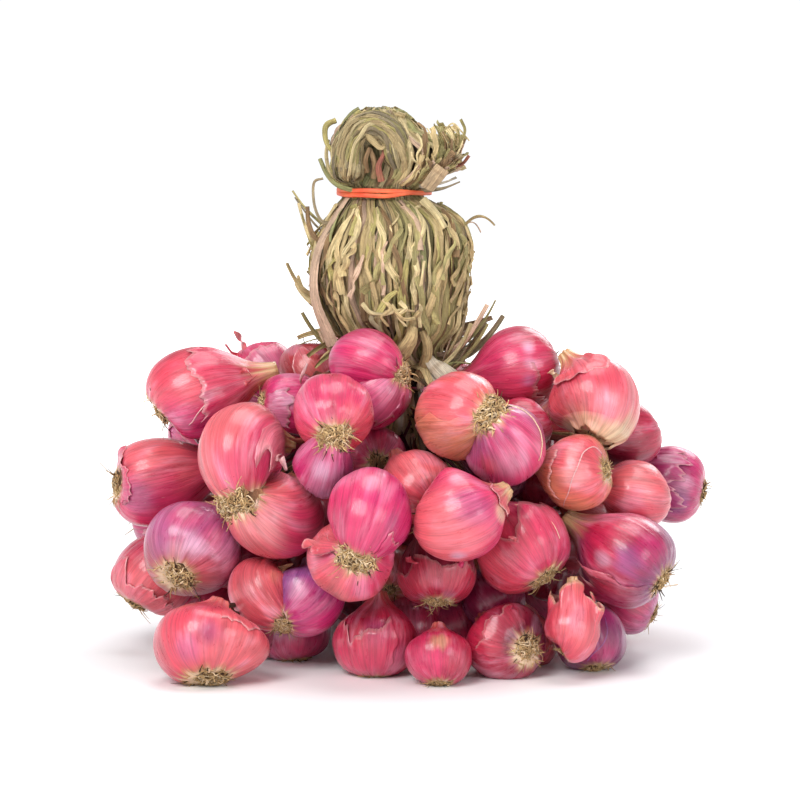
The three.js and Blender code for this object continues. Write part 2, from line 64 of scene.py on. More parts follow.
# The bulbs that show from the front. at: across and up on the picture plane, then depth behind its middle.
# belly: radius as seen. length: root to neck tip, in radii. root: which way the root plate faces, as a turn
# from the front towards the right and a lift above level. twin: a second clove on the same root plate, by
# its belly, the angle on the root's face at which it sits and how far apart the two stand, as a share of
# their radii. wide: breadth across, where it isn't round.
frontBulbs = [
    ([-70, 98, -10], 16.2, 2.7, [-82, -24]), ([-47, 105, 26], 12.8, 2.4, [-150, 40]),
    ([-34, 108, 16], 11.4, 2.2, [-160, 50]), ([-41, 99, -14], 11.8, 2.8, [-74, 2]),
    ([-10, 98, -30], 13.8, 2.2, [58, 10], [11.6, 110, 0.44]), ([-85, 73, -6], 15.6, 2.9, [-80, -8]),
    ([-50, 82, -54], 15.4, 2.3, [-30, -20], [16, -72, 0.76]),
    ([-26, 87.5, -56], 14.4, 2.3, [6, -4], [10.4, -100, 0.76]), ([-70, 49, -38], 17.4, 2.2, [-26, -36]),
    ([-84, 40, -8], 14.2, 2.5, [-76, -50]), ([-62, 17, -58], 16.8, 2.1, [0, -56], None, 1.2),
    ([-37, 31, -52], 13.2, 2.3, [-12, -48], [11.4, 165, 0.66]), ([-36, 11, -36], 12.8, 2.3, [-10, -75]),
    ([-9, 65, -66], 15.2, 2.3, [-6, -24], [15.2, -112, 0.64]), ([-9, 17, -54], 14.5, 2.4, [-5, -72]),
    ([14, 12, -70], 12, 2.3, [0, -60]), ([3, 71, -44], 12.8, 2.4, [35, -25]),
    ([-3, 83, -30], 12, 2.4, [10, -5]), ([21, 61, -62], 16.6, 2.15, [-108, -6]),
    ([14, 40, -48], 13.6, 2.4, [4, -60]), ([23, 89, -50], 15.4, 2.2, [12, 24], [14.8, -38, 0.64]),
    ([42, 110, -4], 14.8, 2.4, [82, 18]), ([64, 97, -24], 16.2, 2.2, [-6, -58]),
    ([46, 92, -26], 10, 2.5, [40, 10]), ([59, 73, -46], 13.3, 2.3, [62, 4]),
    ([80, 84, -4], 12.4, 2.4, [60, 10]), ([93, 73, 4], 13.4, 2.4, [84, -14]),
    ([81, 67, -24], 12.6, 2.4, [50, 0]), ([78, 50, -44], 16.8, 2.5, [62, -28]),
    ([43, 48, -60], 16.6, 2.3, [46, -42]), ([37, 16, -56], 14.5, 2.2, [36, -8]),
    ([57, 21, -62], 9.8, 3.3, [-50, -62]), ([61, 13, -44], 12.6, 2.4, [30, -60]),
    ([50, 10, -40], 9.8, 2.4, [10, -70]), ([79, 31, -18], 11.4, 2.4, [80, -30]),
]
frontBulbs = [dict(zip(("at", "belly", "length", "root", "twin", "wide"), row)) for row in frontBulbs]

# The bulbs round the back: x, y, z of the belly, its radius, and the length in radii. Their roots face
# straight out from the heart of the mound.
backBulbs = [
    ([-70, 8, 15], 14.5, 2.4), ([-48, 42, 15], 15.5, 2.4), ([-17, 56, 15], 15.5, 2.4),
    ([17, 58, 15], 15.5, 2.4), ([49, 43, 15], 15.5, 2.4), ([72, 14, 15], 14, 2.4), ([-82, 28, 44], 15.5, 2.5),
    ([-55, 56, 45], 16, 2.5), ([-20, 68, 46], 16.5, 2.5), ([15, 70, 45], 16.5, 2.5), ([49, 57, 46], 16, 2.5),
    ([78, 34, 45], 15, 2.5), ([-66, 38, 76], 15, 2.6), ([-36, 56, 78], 15, 2.6), ([-2, 62, 79], 15.5, 2.6),
    ([32, 56, 78], 15, 2.6), ([64, 38, 76], 14.5, 2.6), ([-14, 38, 99], 13, 2.4), ([22, 36, 85], 10, 2.3),
]
backBulbs = [dict(zip(("at", "belly", "length"), row)) for row in backBulbs]
mound = {"heart": np.array([0.0, 0.0, 62.0]), "gather": np.array([0.0, 0.0, 92.0])}

# A clove from root to neck in the plain solids: how far along its centreline each ring stands, and the ring's
# radius in bellies.
plainRings = [
    (-0.035, 0.2), (0.0, 0.3), (0.055, 0.54), (0.2, 0.82), (0.5, 1.0), (0.65, 0.91), (0.77, 0.67),
    (0.88, 0.31), (1.0, 0.13),
]
clove = {
    "rootToBelly": 0.85,
    "twinRoot": 0.82,
    "neckBend": 0.4,
    "twinNeck": 0.35,
    "frontSides": 10,
    "backSides": 8,
}

# The same clove in full: a sunken root plate with a rim, a full belly, and a neck that pleats to a tip.
fineRings = [
    (0.012, 0.0), (0.006, 0.12), (-0.004, 0.22), (-0.006, 0.29), (0.006, 0.38), (0.055, 0.56), (0.11, 0.69),
    (0.2, 0.83), (0.34, 0.955), (0.5, 1.0), (0.6, 0.965), (0.67, 0.89), (0.73, 0.77), (0.79, 0.6),
    (0.85, 0.41), (0.91, 0.27), (0.96, 0.2), (1.0, 0.17),
]

# How finely each clove is meshed, and how far its skin strays from round, in bellies.
cloveForm = {
    "front": (64, 112),
    "back": (44, 64),
    "lumps": 0.03,
    "swell": 0.007,
    "ribs": 0.0022,
    "pleats": 0.13,
    "flat": 0.045,
    "collar": 0.05,
    "samples": 200,
    "lengthWeight": 2.2,
}


def linear(colour):
    share = np.asarray(colour, float) / 255
    return np.where(share <= 0.04045, share / 12.92, ((share + 0.055) / 1.055) ** 2.4)


def unit(vectors):
    return vectors / np.maximum(np.linalg.norm(vectors, axis=-1, keepdims=True), 1e-9)


def smooth(low, high, value):
    share = np.clip((value - low) / (high - low), 0, 1)
    return share * share * (3 - 2 * share)


def blendTo(colours, target, amount):
    return colours + (target - colours) * np.asarray(amount)[..., None]


# A smooth curve through points (x, y): y at the given places.
def curveThrough(x, y, at):
    x, y = np.asarray(x, float), np.asarray(y, float)
    slope = np.gradient(y, x, axis=0)
    cell = np.clip(np.searchsorted(x, at) - 1, 0, len(x) - 2)
    width = x[cell + 1] - x[cell]
    share = np.clip((at - x[cell]) / width, 0, 1)
    rest = 1 - share
    return (
        (1 + 2 * share) * rest**2 * y[cell]
        + share * rest**2 * width * slope[cell]
        + share**2 * (3 - 2 * share) * y[cell + 1]
        - share**2 * rest * width * slope[cell + 1]
    )


# Smooth random variation round and along a piece that meets itself without a seam.
def wander(rng, turn, along, orders, rates, terms=8):
    total = 0
    for _ in range(terms):
        order = rng.integers(orders[0], orders[1] + 1)
        rate = rng.uniform(*rates) * rng.choice([-1, 1])
        total = total + np.cos(order * turn + rate * along + rng.uniform(0, 2 * np.pi))
    return total / np.sqrt(terms / 2)


# Values that change in straight runs with sharp turns between them, as a dry leaf creases.
def kinks(rng, count, steps, runs, size):
    knots = rng.normal(0, size, (count, runs + 1))
    at = np.linspace(0, runs, steps)
    whole = np.minimum(at.astype(int), runs - 1)
    return knots[:, whole] + (knots[:, whole + 1] - knots[:, whole]) * (at - whole)


# Materials

def nodeTree(name):
    material = bpy.data.materials.new(name)
    material.use_nodes = True
    tree = material.node_tree
    tree.nodes.clear()
    return material, tree


def makeNode(tree, kind, inputs=None, **settings):
    node = tree.nodes.new(kind)
    for key, value in settings.items():
        setattr(node, key, value)
    for key, value in (inputs or {}).items():
        if isinstance(value, bpy.types.NodeSocket):
            tree.links.new(value, node.inputs[key])
        else:
            node.inputs[key].default_value = value
    return node


def noiseOn(tree, vector, scale, stretch, detail, roughness=0.5, place=(0, 0, 0)):
    mapped = makeNode(tree, "ShaderNodeMapping", {"Vector": vector, "Scale": stretch, "Location": place})
    noise = makeNode(tree, "ShaderNodeTexNoise", {
        "Vector": mapped.outputs[0], "Scale": scale, "Detail": detail, "Roughness": roughness,
    })
    return noise.outputs["Fac"]


def spread(tree, value, low, high, toLow, toHigh):
    node = makeNode(tree, "ShaderNodeMapRange", {
        "Value": value, "From Min": low, "From Max": high, "To Min": toLow, "To Max": toHigh,
    })
    return node.outputs[0]


def mixColour(tree, share, one, other, blend="MIX"):
    node = makeNode(tree, "ShaderNodeMix", data_type="RGBA", blend_type=blend)
    for index, value in ((0, share), (6, one), (7, other)):
        if isinstance(value, bpy.types.NodeSocket):
            tree.links.new(value, node.inputs[index])
        elif index == 0:
            node.inputs[index].default_value = value
        else:
            node.inputs[index].default_value = (*value, 1)
    return node.outputs[2]


def grey(tree, value):
    node = makeNode(tree, "ShaderNodeCombineColor")
    for index in range(3):
        tree.links.new(value, node.inputs[index])
    return node.outputs[0]


# A mesh's own value at each point.
def ownValue(tree, name, output):
    return makeNode(tree, "ShaderNodeAttribute", attribute_name=name).outputs[output]


# A colour times a grey that follows a value.
def shadeBy(tree, colour, value, *span):
    return mixColour(tree, 1.0, colour, grey(tree, spread(tree, value, *span)), "MULTIPLY")


def flatColour(colour):
    return tuple(linear(colour))


def bumpOn(tree, height, strength, distance, normal=None):
    node = makeNode(tree, "ShaderNodeBump", {"Height": height, "Strength": strength, "Distance": distance})
    if normal:
        tree.links.new(normal, node.inputs["Normal"])
    return node.outputs[0]


def finishTree(tree, inputs):
    shader = makeNode(tree, "ShaderNodeBsdfPrincipled", inputs)
    output = makeNode(tree, "ShaderNodeOutputMaterial")
    tree.links.new(shader.outputs[0], output.inputs[0])


# Shallot skin: the bulb's own tint under fine fibres that run from root to neck, paler veins, and a satin
# gloss.
skinLook = {
    "fibres": (0.86, 1.09),
    "veins": (0.96, 1.04),
    "threadWide": 0.08,
    "thread": 0.8,
    "veil": 0.34,
    "veilColour": (224, 176, 200),
    "fleckColour": (236, 206, 200),
    "rough": (0.24, 0.42),
    "coat": 0.42,
    "coatRough": 0.17,
    "under": 0.08,
    "bump": 0.3,
}


def makeSkinMaterial():
    look = skinLook
    material, tree = nodeTree("shallot_skin")
    tint = ownValue(tree, "tint", "Color")
    grown = ownValue(tree, "grown", "Vector")
    fibres = noiseOn(tree, grown, 1.0, (26, 26, 3.2), 4, 0.62)
    veins = noiseOn(tree, grown, 1.0, (11, 11, 0.9), 2, 0.5, (4, 9, 2))
    patches = noiseOn(tree, grown, 1.0, (2.2, 2.2, 1.6), 3, 0.55, (7, 1, 5))
    flecks = noiseOn(tree, grown, 1.0, (40, 40, 12.0), 3, 0.6, (2, 6, 8))
    crinkle = noiseOn(tree, grown, 1.0, (8, 8, 5), 5, 0.62, (5, 3, 1))
    colour = shadeBy(tree, tint, fibres, 0.3, 0.7, *look["fibres"])
    colour = shadeBy(tree, colour, veins, 0.35, 0.65, *look["veins"])
    colour = shadeBy(tree, colour, crinkle, 0.3, 0.7, 0.9, 1.08)
    veil = makeNode(tree, "ShaderNodeMath", operation="MULTIPLY")
    tree.links.new(spread(tree, patches, 0.5, 0.75, 0.0, look["veil"]), veil.inputs[0])
    tree.links.new(spread(tree, crinkle, 0.4, 0.62, 0.1, 1.0), veil.inputs[1])
    colour = mixColour(tree, veil.outputs[0], colour, flatColour(look["veilColour"]))
    fleck = spread(tree, flecks, 0.68, 0.78, 0.0, 0.4)
    colour = mixColour(tree, fleck, colour, flatColour(look["fleckColour"]))
    lines = noiseOn(tree, grown, 1.0, (11, 11, 0.6), 2, 0.4, (6, 4, 2))
    offset = makeNode(tree, "ShaderNodeMath", {0: lines, 1: 0.5}, operation="SUBTRACT")
    apart = makeNode(tree, "ShaderNodeMath", {0: offset.outputs[0]}, operation="ABSOLUTE").outputs[0]
    colour = shadeBy(tree, colour, apart, 0.0, look["threadWide"], look["thread"], 1.0)
    normal = bumpOn(tree, fibres, look["bump"], 0.0004)
    normal = bumpOn(tree, veins, look["bump"] * 0.8, 0.0009, normal)
    normal = bumpOn(tree, crinkle, look["bump"] * 0.8, 0.0010, normal)
    finishTree(tree, {
        "Base Color": colour,
        "Roughness": spread(tree, crinkle, 0.3, 0.7, *look["rough"]),
        "Normal": normal,
        "Coat Weight": look["coat"],
        "Coat Roughness": look["coatRough"],
        "Subsurface Weight": look["under"],
        "Subsurface Radius": (1.0, 0.32, 0.25),
        "Subsurface Scale": 0.0025,
        "IOR": 1.46,
    })
    return material


# Dry matter, such as leaves, roots and torn skin edges: its own tint under fibres along its length, dull.
def makeDryMaterial(name, fibreStretch, rough, bump):
    material, tree = nodeTree(name)
    tint = ownValue(tree, "tint", "Color")
    grown = ownValue(tree, "grown", "Vector")
    fibres = noiseOn(tree, grown, 1.0, fibreStretch, 4, 0.65)
    stains = noiseOn(tree, grown, 1.0, (0.5, 0.5, 0.16), 3, 0.6, (3, 8, 4))
    spots = noiseOn(tree, grown, 1.0, (1.4, 1.4, 0.6), 4, 0.6, (9, 2, 6))
    colour = shadeBy(tree, tint, fibres, 0.3, 0.7, 0.5, 1.3)
    colour = shadeBy(tree, colour, stains, 0.3, 0.7, 0.8, 1.14)
    colour = mixColour(tree, spread(tree, spots, 0.58, 0.74, 0.0, 0.5), colour, flatColour((110, 84, 52)))
    finishTree(tree, {
        "Base Color": colour,
        "Roughness": spread(tree, stains, 0.3, 0.7, rough - 0.1, rough + 0.08),
        "Normal": bumpOn(tree, spots, bump, 0.0012, bumpOn(tree, fibres, bump, 0.0005)),
        "IOR": 1.42,
    })
    return material


def makeBandMaterial():
    material, tree = nodeTree("rubber_band")
    place = makeNode(tree, "ShaderNodeTexCoord").outputs["Object"]
    grain = noiseOn(tree, place, 900.0, (1, 1, 1), 3, 0.55)
    wear = noiseOn(tree, place, 160.0, (1, 1, 2), 3, 0.6, (1, 2, 3))
    worn = spread(tree, wear, 0.35, 0.7, 0.0, 1.0)
    colour = mixColour(tree, worn, flatColour((206, 72, 36)), flatColour((222, 108, 64)))
    finishTree(tree, {
        "Base Color": colour,
        "Roughness": spread(tree, wear, 0.3, 0.7, 0.42, 0.6),
        "Normal": bumpOn(tree, grain, 0.15, 0.0002),
        "Subsurface Weight": 0.15,
        "Subsurface Radius": (1.0, 0.4, 0.2),
        "Subsurface Scale": 0.0015,
    })
    return material


skins = makeSkinMaterial()
leaves = makeDryMaterial("dried_leaf", (3.2, 3.2, 0.14), 0.72, 0.6)
rootHair = makeDryMaterial("root_hair", (3.0, 3.0, 1.0), 0.82, 0.3)
bandRubber = makeBandMaterial()


# Meshes

# Each point of a mesh gets a tint and the place on the growing skin or leaf that its fibres follow.
def tintMesh(mesh, tint, grown):
    colours = np.ones((len(mesh.vertices), 4), np.float32)
    colours[:, :3] = np.clip(np.asarray(tint).reshape(-1, 3), 0.0, 1.0)
    mesh.attributes.new("tint", "FLOAT_COLOR", "POINT").data.foreach_set("color", colours.reshape(-1))
    vectors = np.asarray(grown, np.float32).reshape(-1)
    mesh.attributes.new("grown", "FLOAT_VECTOR", "POINT").data.foreach_set("vector", vectors)


# A piece from its points in millimetres and its faces. It rides on the bunch.
def addPiece(name, points, faces, tint, grown, material, replaces, smoothShade):
    points = np.asarray(points, float).reshape(-1, 3) * mm
    corners = np.concatenate([face.reshape(-1) for face in faces])
    sizes = np.concatenate([np.full(len(face), face.shape[1]) for face in faces])
    mesh = bpy.data.meshes.new(name)
    mesh.vertices.add(len(points))
    mesh.vertices.foreach_set("co", points.astype(np.float32).reshape(-1))
    mesh.loops.add(len(corners))
    mesh.loops.foreach_set("vertex_index", corners.astype(np.int32))
    mesh.polygons.add(len(sizes))
    mesh.polygons.foreach_set("loop_start", (np.cumsum(sizes) - sizes).astype(np.int32))
    mesh.update(calc_edges=True)
    mesh.polygons.foreach_set("use_smooth", np.full(len(sizes), smoothShade))
    tintMesh(mesh, tint, grown)
    mesh.materials.append(material)
    piece = bpy.data.objects.new(name, mesh)
    bpy.context.scene.collection.objects.link(piece)
    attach(piece, "root")
    if replaces:
        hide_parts(*replaces)


# The quads between neighbouring points of a grid, which may close on itself across.
def gridFaces(rows, columns, closed):
    index = np.arange(rows * columns).reshape(rows, columns)
    if closed:
        index = np.concatenate([index, index[:, :1]], axis=1)
    a, b, c, d = index[:-1, :-1], index[:-1, 1:], index[1:, 1:], index[1:, :-1]
    return np.stack([a, b, c, d], axis=-1).reshape(-1, 4)


# The triangles from one point to the pairs of neighbours on a closed ring.
def fanFaces(middle, ring, after):
    return np.stack([np.full(len(ring), middle), ring, after], axis=-1)


# The faces of a grid that closes round, with a cap at either end to a point that comes after the grid's own.
def closedFaces(rows, columns):
    count, ring = rows * columns, np.arange(columns)
    after, last = (ring + 1) % columns, (rows - 1) * columns
    caps = [fanFaces(count, after, ring), fanFaces(count + 1, last + ring, last + after)]
    return [gridFaces(rows, columns, True), *caps]


# Several pieces' points, faces, tints and places on the skin, joined in one set.
class Heap:
    def __init__(self):
        self.points, self.faces, self.tint, self.grown, self.count = [], [], [], [], 0

    def add(self, points, faces, tint, grown):
        points = np.asarray(points).reshape(-1, 3)
        self.faces.extend(face + self.count for face in faces)
        self.points.append(points)
        tint = np.broadcast_to(tint, (len(points), 3)) if np.ndim(tint) == 1 else tint.reshape(-1, 3)
        self.tint.append(tint)
        self.grown.append(np.asarray(grown).reshape(-1, 3))
        self.count += len(points)

    def change(self, how):
        self.points = [how(points) for points in self.points]

    def make(self, name, material, slot, replaces=None, smoothShade=True):
        points, tint, grown = (np.concatenate(each) for each in (self.points, self.tint, self.grown))
        addPiece(name, points, self.faces, tint, grown, material, replaces, smoothShade)


# Ribbons along centrelines (ribbon, step, xyz), with the way each faces at every step. Each has a flat
# section that is curved across like a gutter, and closed ends.
def ribbons(centres, facing, widths, thick, curl, roll, sides):
    count, steps = centres.shape[:2]
    along = unit(np.gradient(centres, axis=1))
    side = unit(np.cross(facing, along))
    out = np.cross(along, side)
    roll = np.broadcast_to(np.asarray(roll, float), (count, steps))[..., None]
    side, out = side * np.cos(roll) + out * np.sin(roll), out * np.cos(roll) - side * np.sin(roll)
    angle = 2 * np.pi * np.arange(sides) / sides
    half = (np.broadcast_to(widths, (count, steps)) / 2)[..., None, None]
    thin = (np.broadcast_to(thick, (count, steps)) / 2)[..., None, None]
    bent = np.broadcast_to(np.asarray(curl, float), (count, steps))[..., None, None] * half
    lateral = np.cos(angle)[None, None, :, None]
    points = (
        centres[:, :, None]
        + side[:, :, None] * half * lateral
        + out[:, :, None] * (thin * np.sin(angle)[None, None, :, None] + bent * (0.4 - lateral**2))
    )
    quads = gridFaces(steps, sides, True)
    shift = (np.arange(count) * steps * sides)[:, None, None]
    first = (np.arange(sides)[::-1])[None]
    last = ((steps - 1) * sides + np.arange(sides))[None]
    faces = [(quads[None] + shift).reshape(-1, 4)]
    faces += [(first[None] + shift).reshape(-1, sides), (last[None] + shift).reshape(-1, sides)]
    return points, faces


# Where fibres run on ribbons: across and along each, in millimetres, from a place of its own.
def ribbonGrown(rng, points, centres, widths):
    count, steps, sides = points.shape[:3]
    lengths = np.linalg.norm(np.diff(centres, axis=1), axis=-1)
    along = np.concatenate([np.zeros((count, 1)), np.cumsum(lengths, axis=1)], axis=1)
    angle = 2 * np.pi * np.arange(sides) / sides
    across = (np.broadcast_to(widths, (count, steps)) / 2)[..., None] * np.cos(angle)
    seeds = rng.uniform(0, 300, (count, 1, 1, 3))
    through, along = np.sin(angle) * 0.2, along[..., None]
    return np.stack(np.broadcast_arrays(across, through, along), axis=-1) + seeds


# Bulbs

# A point that shows at across and up on the picture plane, moved along the line of sight to a depth, and the
# scale at which things there are seen.
def placeSeen(at):
    across, high, depth = at
    tilt = np.radians(viewer["tilt"])
    along = np.array([0, np.cos(tilt), -np.sin(tilt)])
    above = np.array([0, np.sin(tilt), np.cos(tilt)])
    eye = np.array([0, 0, viewer["aimHeight"]]) - along * viewer["distance"]
    shown = np.array([across, 0, viewer["aimHeight"]]) + above * (high - viewer["floorLine"])
    scale = (depth - eye[1]) / (shown - eye)[1]
    return eye + (shown - eye) * scale, scale


# The way to the place that shows at right and up of a belly's middle, in bellies.
def wayTo(right, high):
    return unit(np.array([right, -np.sqrt(max(0.02, 1 - right**2 - high**2)), high]))


def facingOf(root):
    turn, lift = np.radians(root)
    return np.array([np.sin(turn) * np.cos(lift), -np.cos(turn) * np.cos(lift), np.sin(lift)])


# A bulb's cloves, each with its radius and the three points of its centreline, measured from the main belly.
def growCloves(belly, length, twin, out, inward):
    neckWay = unit(-out + (inward + out) * clove["neckBend"])
    neckLength = (length - clove["rootToBelly"]) * belly
    middle = np.zeros(3)
    if not twin:
        root = out * clove["rootToBelly"] * belly
        return [{"radius": belly, "belly": middle, "root": root, "tip": neckWay * neckLength}]
    right = unit(np.cross(up, out))
    above = np.cross(out, right)
    twinBelly, beside, apart = twin
    turn = np.radians(beside)
    offset = (right * np.cos(turn) + above * np.sin(turn)) * apart * (belly + twinBelly)
    share = twinBelly**3 / (belly**3 + twinBelly**3)
    root = offset * share + out * clove["twinRoot"] * max(belly, twinBelly)
    lobes = []
    for radius, place in ((belly, middle), (twinBelly, offset)):
        apartFrom = (place - offset * share) * (clove["twinNeck"] - 1)
        tip = place + apartFrom + neckWay * neckLength * (radius / belly)
        lobes.append({"radius": radius, "belly": place, "root": root, "tip": tip})
    return lobes


def moveLobe(lobe, by):
    for key in ("belly", "root", "tip"):
        lobe[key] = lobe[key] + by


def alongClove(lobe, t):
    t = np.asarray(t, float)[..., None]
    bend = 2 * lobe["belly"] - 0.5 * lobe["root"] - 0.5 * lobe["tip"]
    point = lobe["root"] * (1 - t) ** 2 + bend * 2 * t * (1 - t) + lobe["tip"] * t * t
    way = (bend - lobe["root"]) * 2 * (1 - t) + (lobe["tip"] - bend) * 2 * t
    return point, unit(way)


# The level direction square to a clove's start, carried square to the centreline from step to step.
def frameAlong(lobe, ways):
    across = np.cross(up, lobe["belly"] - lobe["root"])
    across = np.array([1.0, 0, 0]) if np.linalg.norm(across) < 1 else unit(across)
    sides = []
    for way in ways:
        across = unit(across - way * np.dot(across, way))
        sides.append(across)
    sides = np.array(sides)
    return sides, np.cross(ways, sides)


# The box of the plain solid that a bulb's cloves make, which says where its node's box puts the bulb.
def plainBox(lobes, sides, wide):
    angle = 2 * np.pi * np.arange(sides) / sides
    points = []
    for lobe in lobes:
        t, radius = np.array(plainRings).T
        centres, ways = alongClove(lobe, t)
        across, above = frameAlong(lobe, ways)
        reach = (radius * lobe["radius"])[:, None, None]
        ring = across[:, None] * np.cos(angle)[:, None] * reach * wide
        ring = ring + above[:, None] * np.sin(angle)[:, None] * reach
        points += [(centres[:, None] + ring).reshape(-1, 3), centres[:1], lobe["tip"][None]]
    points = np.concatenate(points)
    return points.min(axis=0), points.max(axis=0)


# One clove's skin as a surface: the turn round it, and the share of the way from root plate to neck tip.
class Clove:
    def __init__(self, lobe, wide, tuft, rng):
        self.lobe, self.wide, self.tuft, self.radius = lobe, wide, tuft, lobe["radius"]
        t, reach = np.array(fineRings).T
        steps = np.hypot(np.diff(t) * cloveForm["lengthWeight"], np.diff(reach))
        chord = np.concatenate([[0], np.cumsum(steps)])
        self.along = np.linspace(0, 1, cloveForm["samples"])
        self.t = curveThrough(chord / chord[-1], t, self.along)
        self.reach = np.maximum(curveThrough(chord / chord[-1], reach, self.along), 0)
        self.centre, ways = alongClove(lobe, self.t)
        self.across, self.above = frameAlong(lobe, ways)
        self.seeds = rng.integers(0, 2**31, 4)
        self.pleats = rng.integers(5, 9)
        self.flat = rng.uniform(0, 2 * np.pi)
        self.dryNeck = 1.0

    def between(self, table, u):
        if table.ndim == 1:
            return np.interp(u, self.along, table)
        return np.stack([np.interp(u, self.along, table[:, axis]) for axis in range(3)], axis=-1)

    def surface(self, turn, u):
        turn, u = np.broadcast_arrays(turn, u)
        low, swell, rib, neck = (np.random.default_rng(seed) for seed in self.seeds)
        body = smooth(0.05, 0.35, u) * smooth(1.0, 0.75, u)
        stray = cloveForm["lumps"] * body * wander(low, turn, u * 3, (1, 3), (0, 1.2), 6)
        stray = stray - cloveForm["flat"] * body * np.exp(4 * (np.cos(turn - self.flat) - 1))
        stray = stray + cloveForm["swell"] * body * wander(swell, turn, u * 3, (5, 9), (0, 2.0), 8)
        stray = stray + cloveForm["ribs"] * wander(rib, turn, u * 2, (16, 30), (0, 1.0), 10)
        pleat = cloveForm["pleats"] * smooth(0.66, 0.95, u)
        fold = 0.6 * np.cos(self.pleats * turn + 2 * u) + 0.5 * wander(neck, turn, u, (3, 11), (0, 2))
        collar = cloveForm["collar"] * smooth(0.3, 0.12, u) * smooth(0.02, 0.08, u)
        stray = stray + pleat * fold + collar * np.cos(2 * self.pleats * turn)
        reach = (self.between(self.reach, u) * self.radius * (1 + stray))[..., None]
        ring = self.between(self.across, u) * np.cos(turn)[..., None] * self.wide
        ring = ring + self.between(self.above, u) * np.sin(turn)[..., None]
        return self.between(self.centre, u) + ring * reach

    def outward(self, turn, u):
        near = 0.004
        round_ = self.surface(turn + near, u) - self.surface(turn - near, u)
        along = self.surface(turn, np.minimum(u + near, 1)) - self.surface(turn, np.maximum(u - near, 0))
        return unit(np.cross(round_, along))

    # The turn and share of the place that shows at right and up of the belly's middle, in bellies.
    def seenAt(self, right, high):
        turn, u = np.meshgrid(np.linspace(0, 2 * np.pi, 72, endpoint=False), np.linspace(0.08, 0.95, 60))
        best = np.argmax(unit(self.surface(turn, u) - self.lobe["belly"]) @ wayTo(right, high))
        return turn.reshape(-1)[best], u.reshape(-1)[best]

    def grown(self, turn, u):
        seed = self.seeds[0] % 997
        turn, u = np.broadcast_arrays(turn, u)
        start = np.array([seed, seed * 0.37, seed * 0.61])
        return np.stack([np.cos(turn), np.sin(turn), u * 1.6], axis=-1) + start


# Colours of skins and dry matter, as they look in plain light.
paint = {
    "salmon": (216, 94, 102), "coral": (208, 66, 86), "crimson": (180, 32, 66), "rose": (202, 50, 96),
    "magenta": (190, 34, 98), "plum": (128, 40, 92), "violet": (146, 76, 138), "mauve": (180, 84, 130),
    "silver": (206, 164, 188), "wine": (98, 12, 38), "brick": (162, 36, 46), "orange": (222, 132, 104),
    "rust": (166, 70, 58), "cream": (228, 200, 162), "straw": (208, 174, 124), "tan": (200, 144, 106),
    "dark": (66, 14, 30), "root": (186, 148, 100), "soil": (70, 46, 28), "pale": (224, 168, 168),
}
paint = {name: linear(colour) for name, colour in paint.items()}

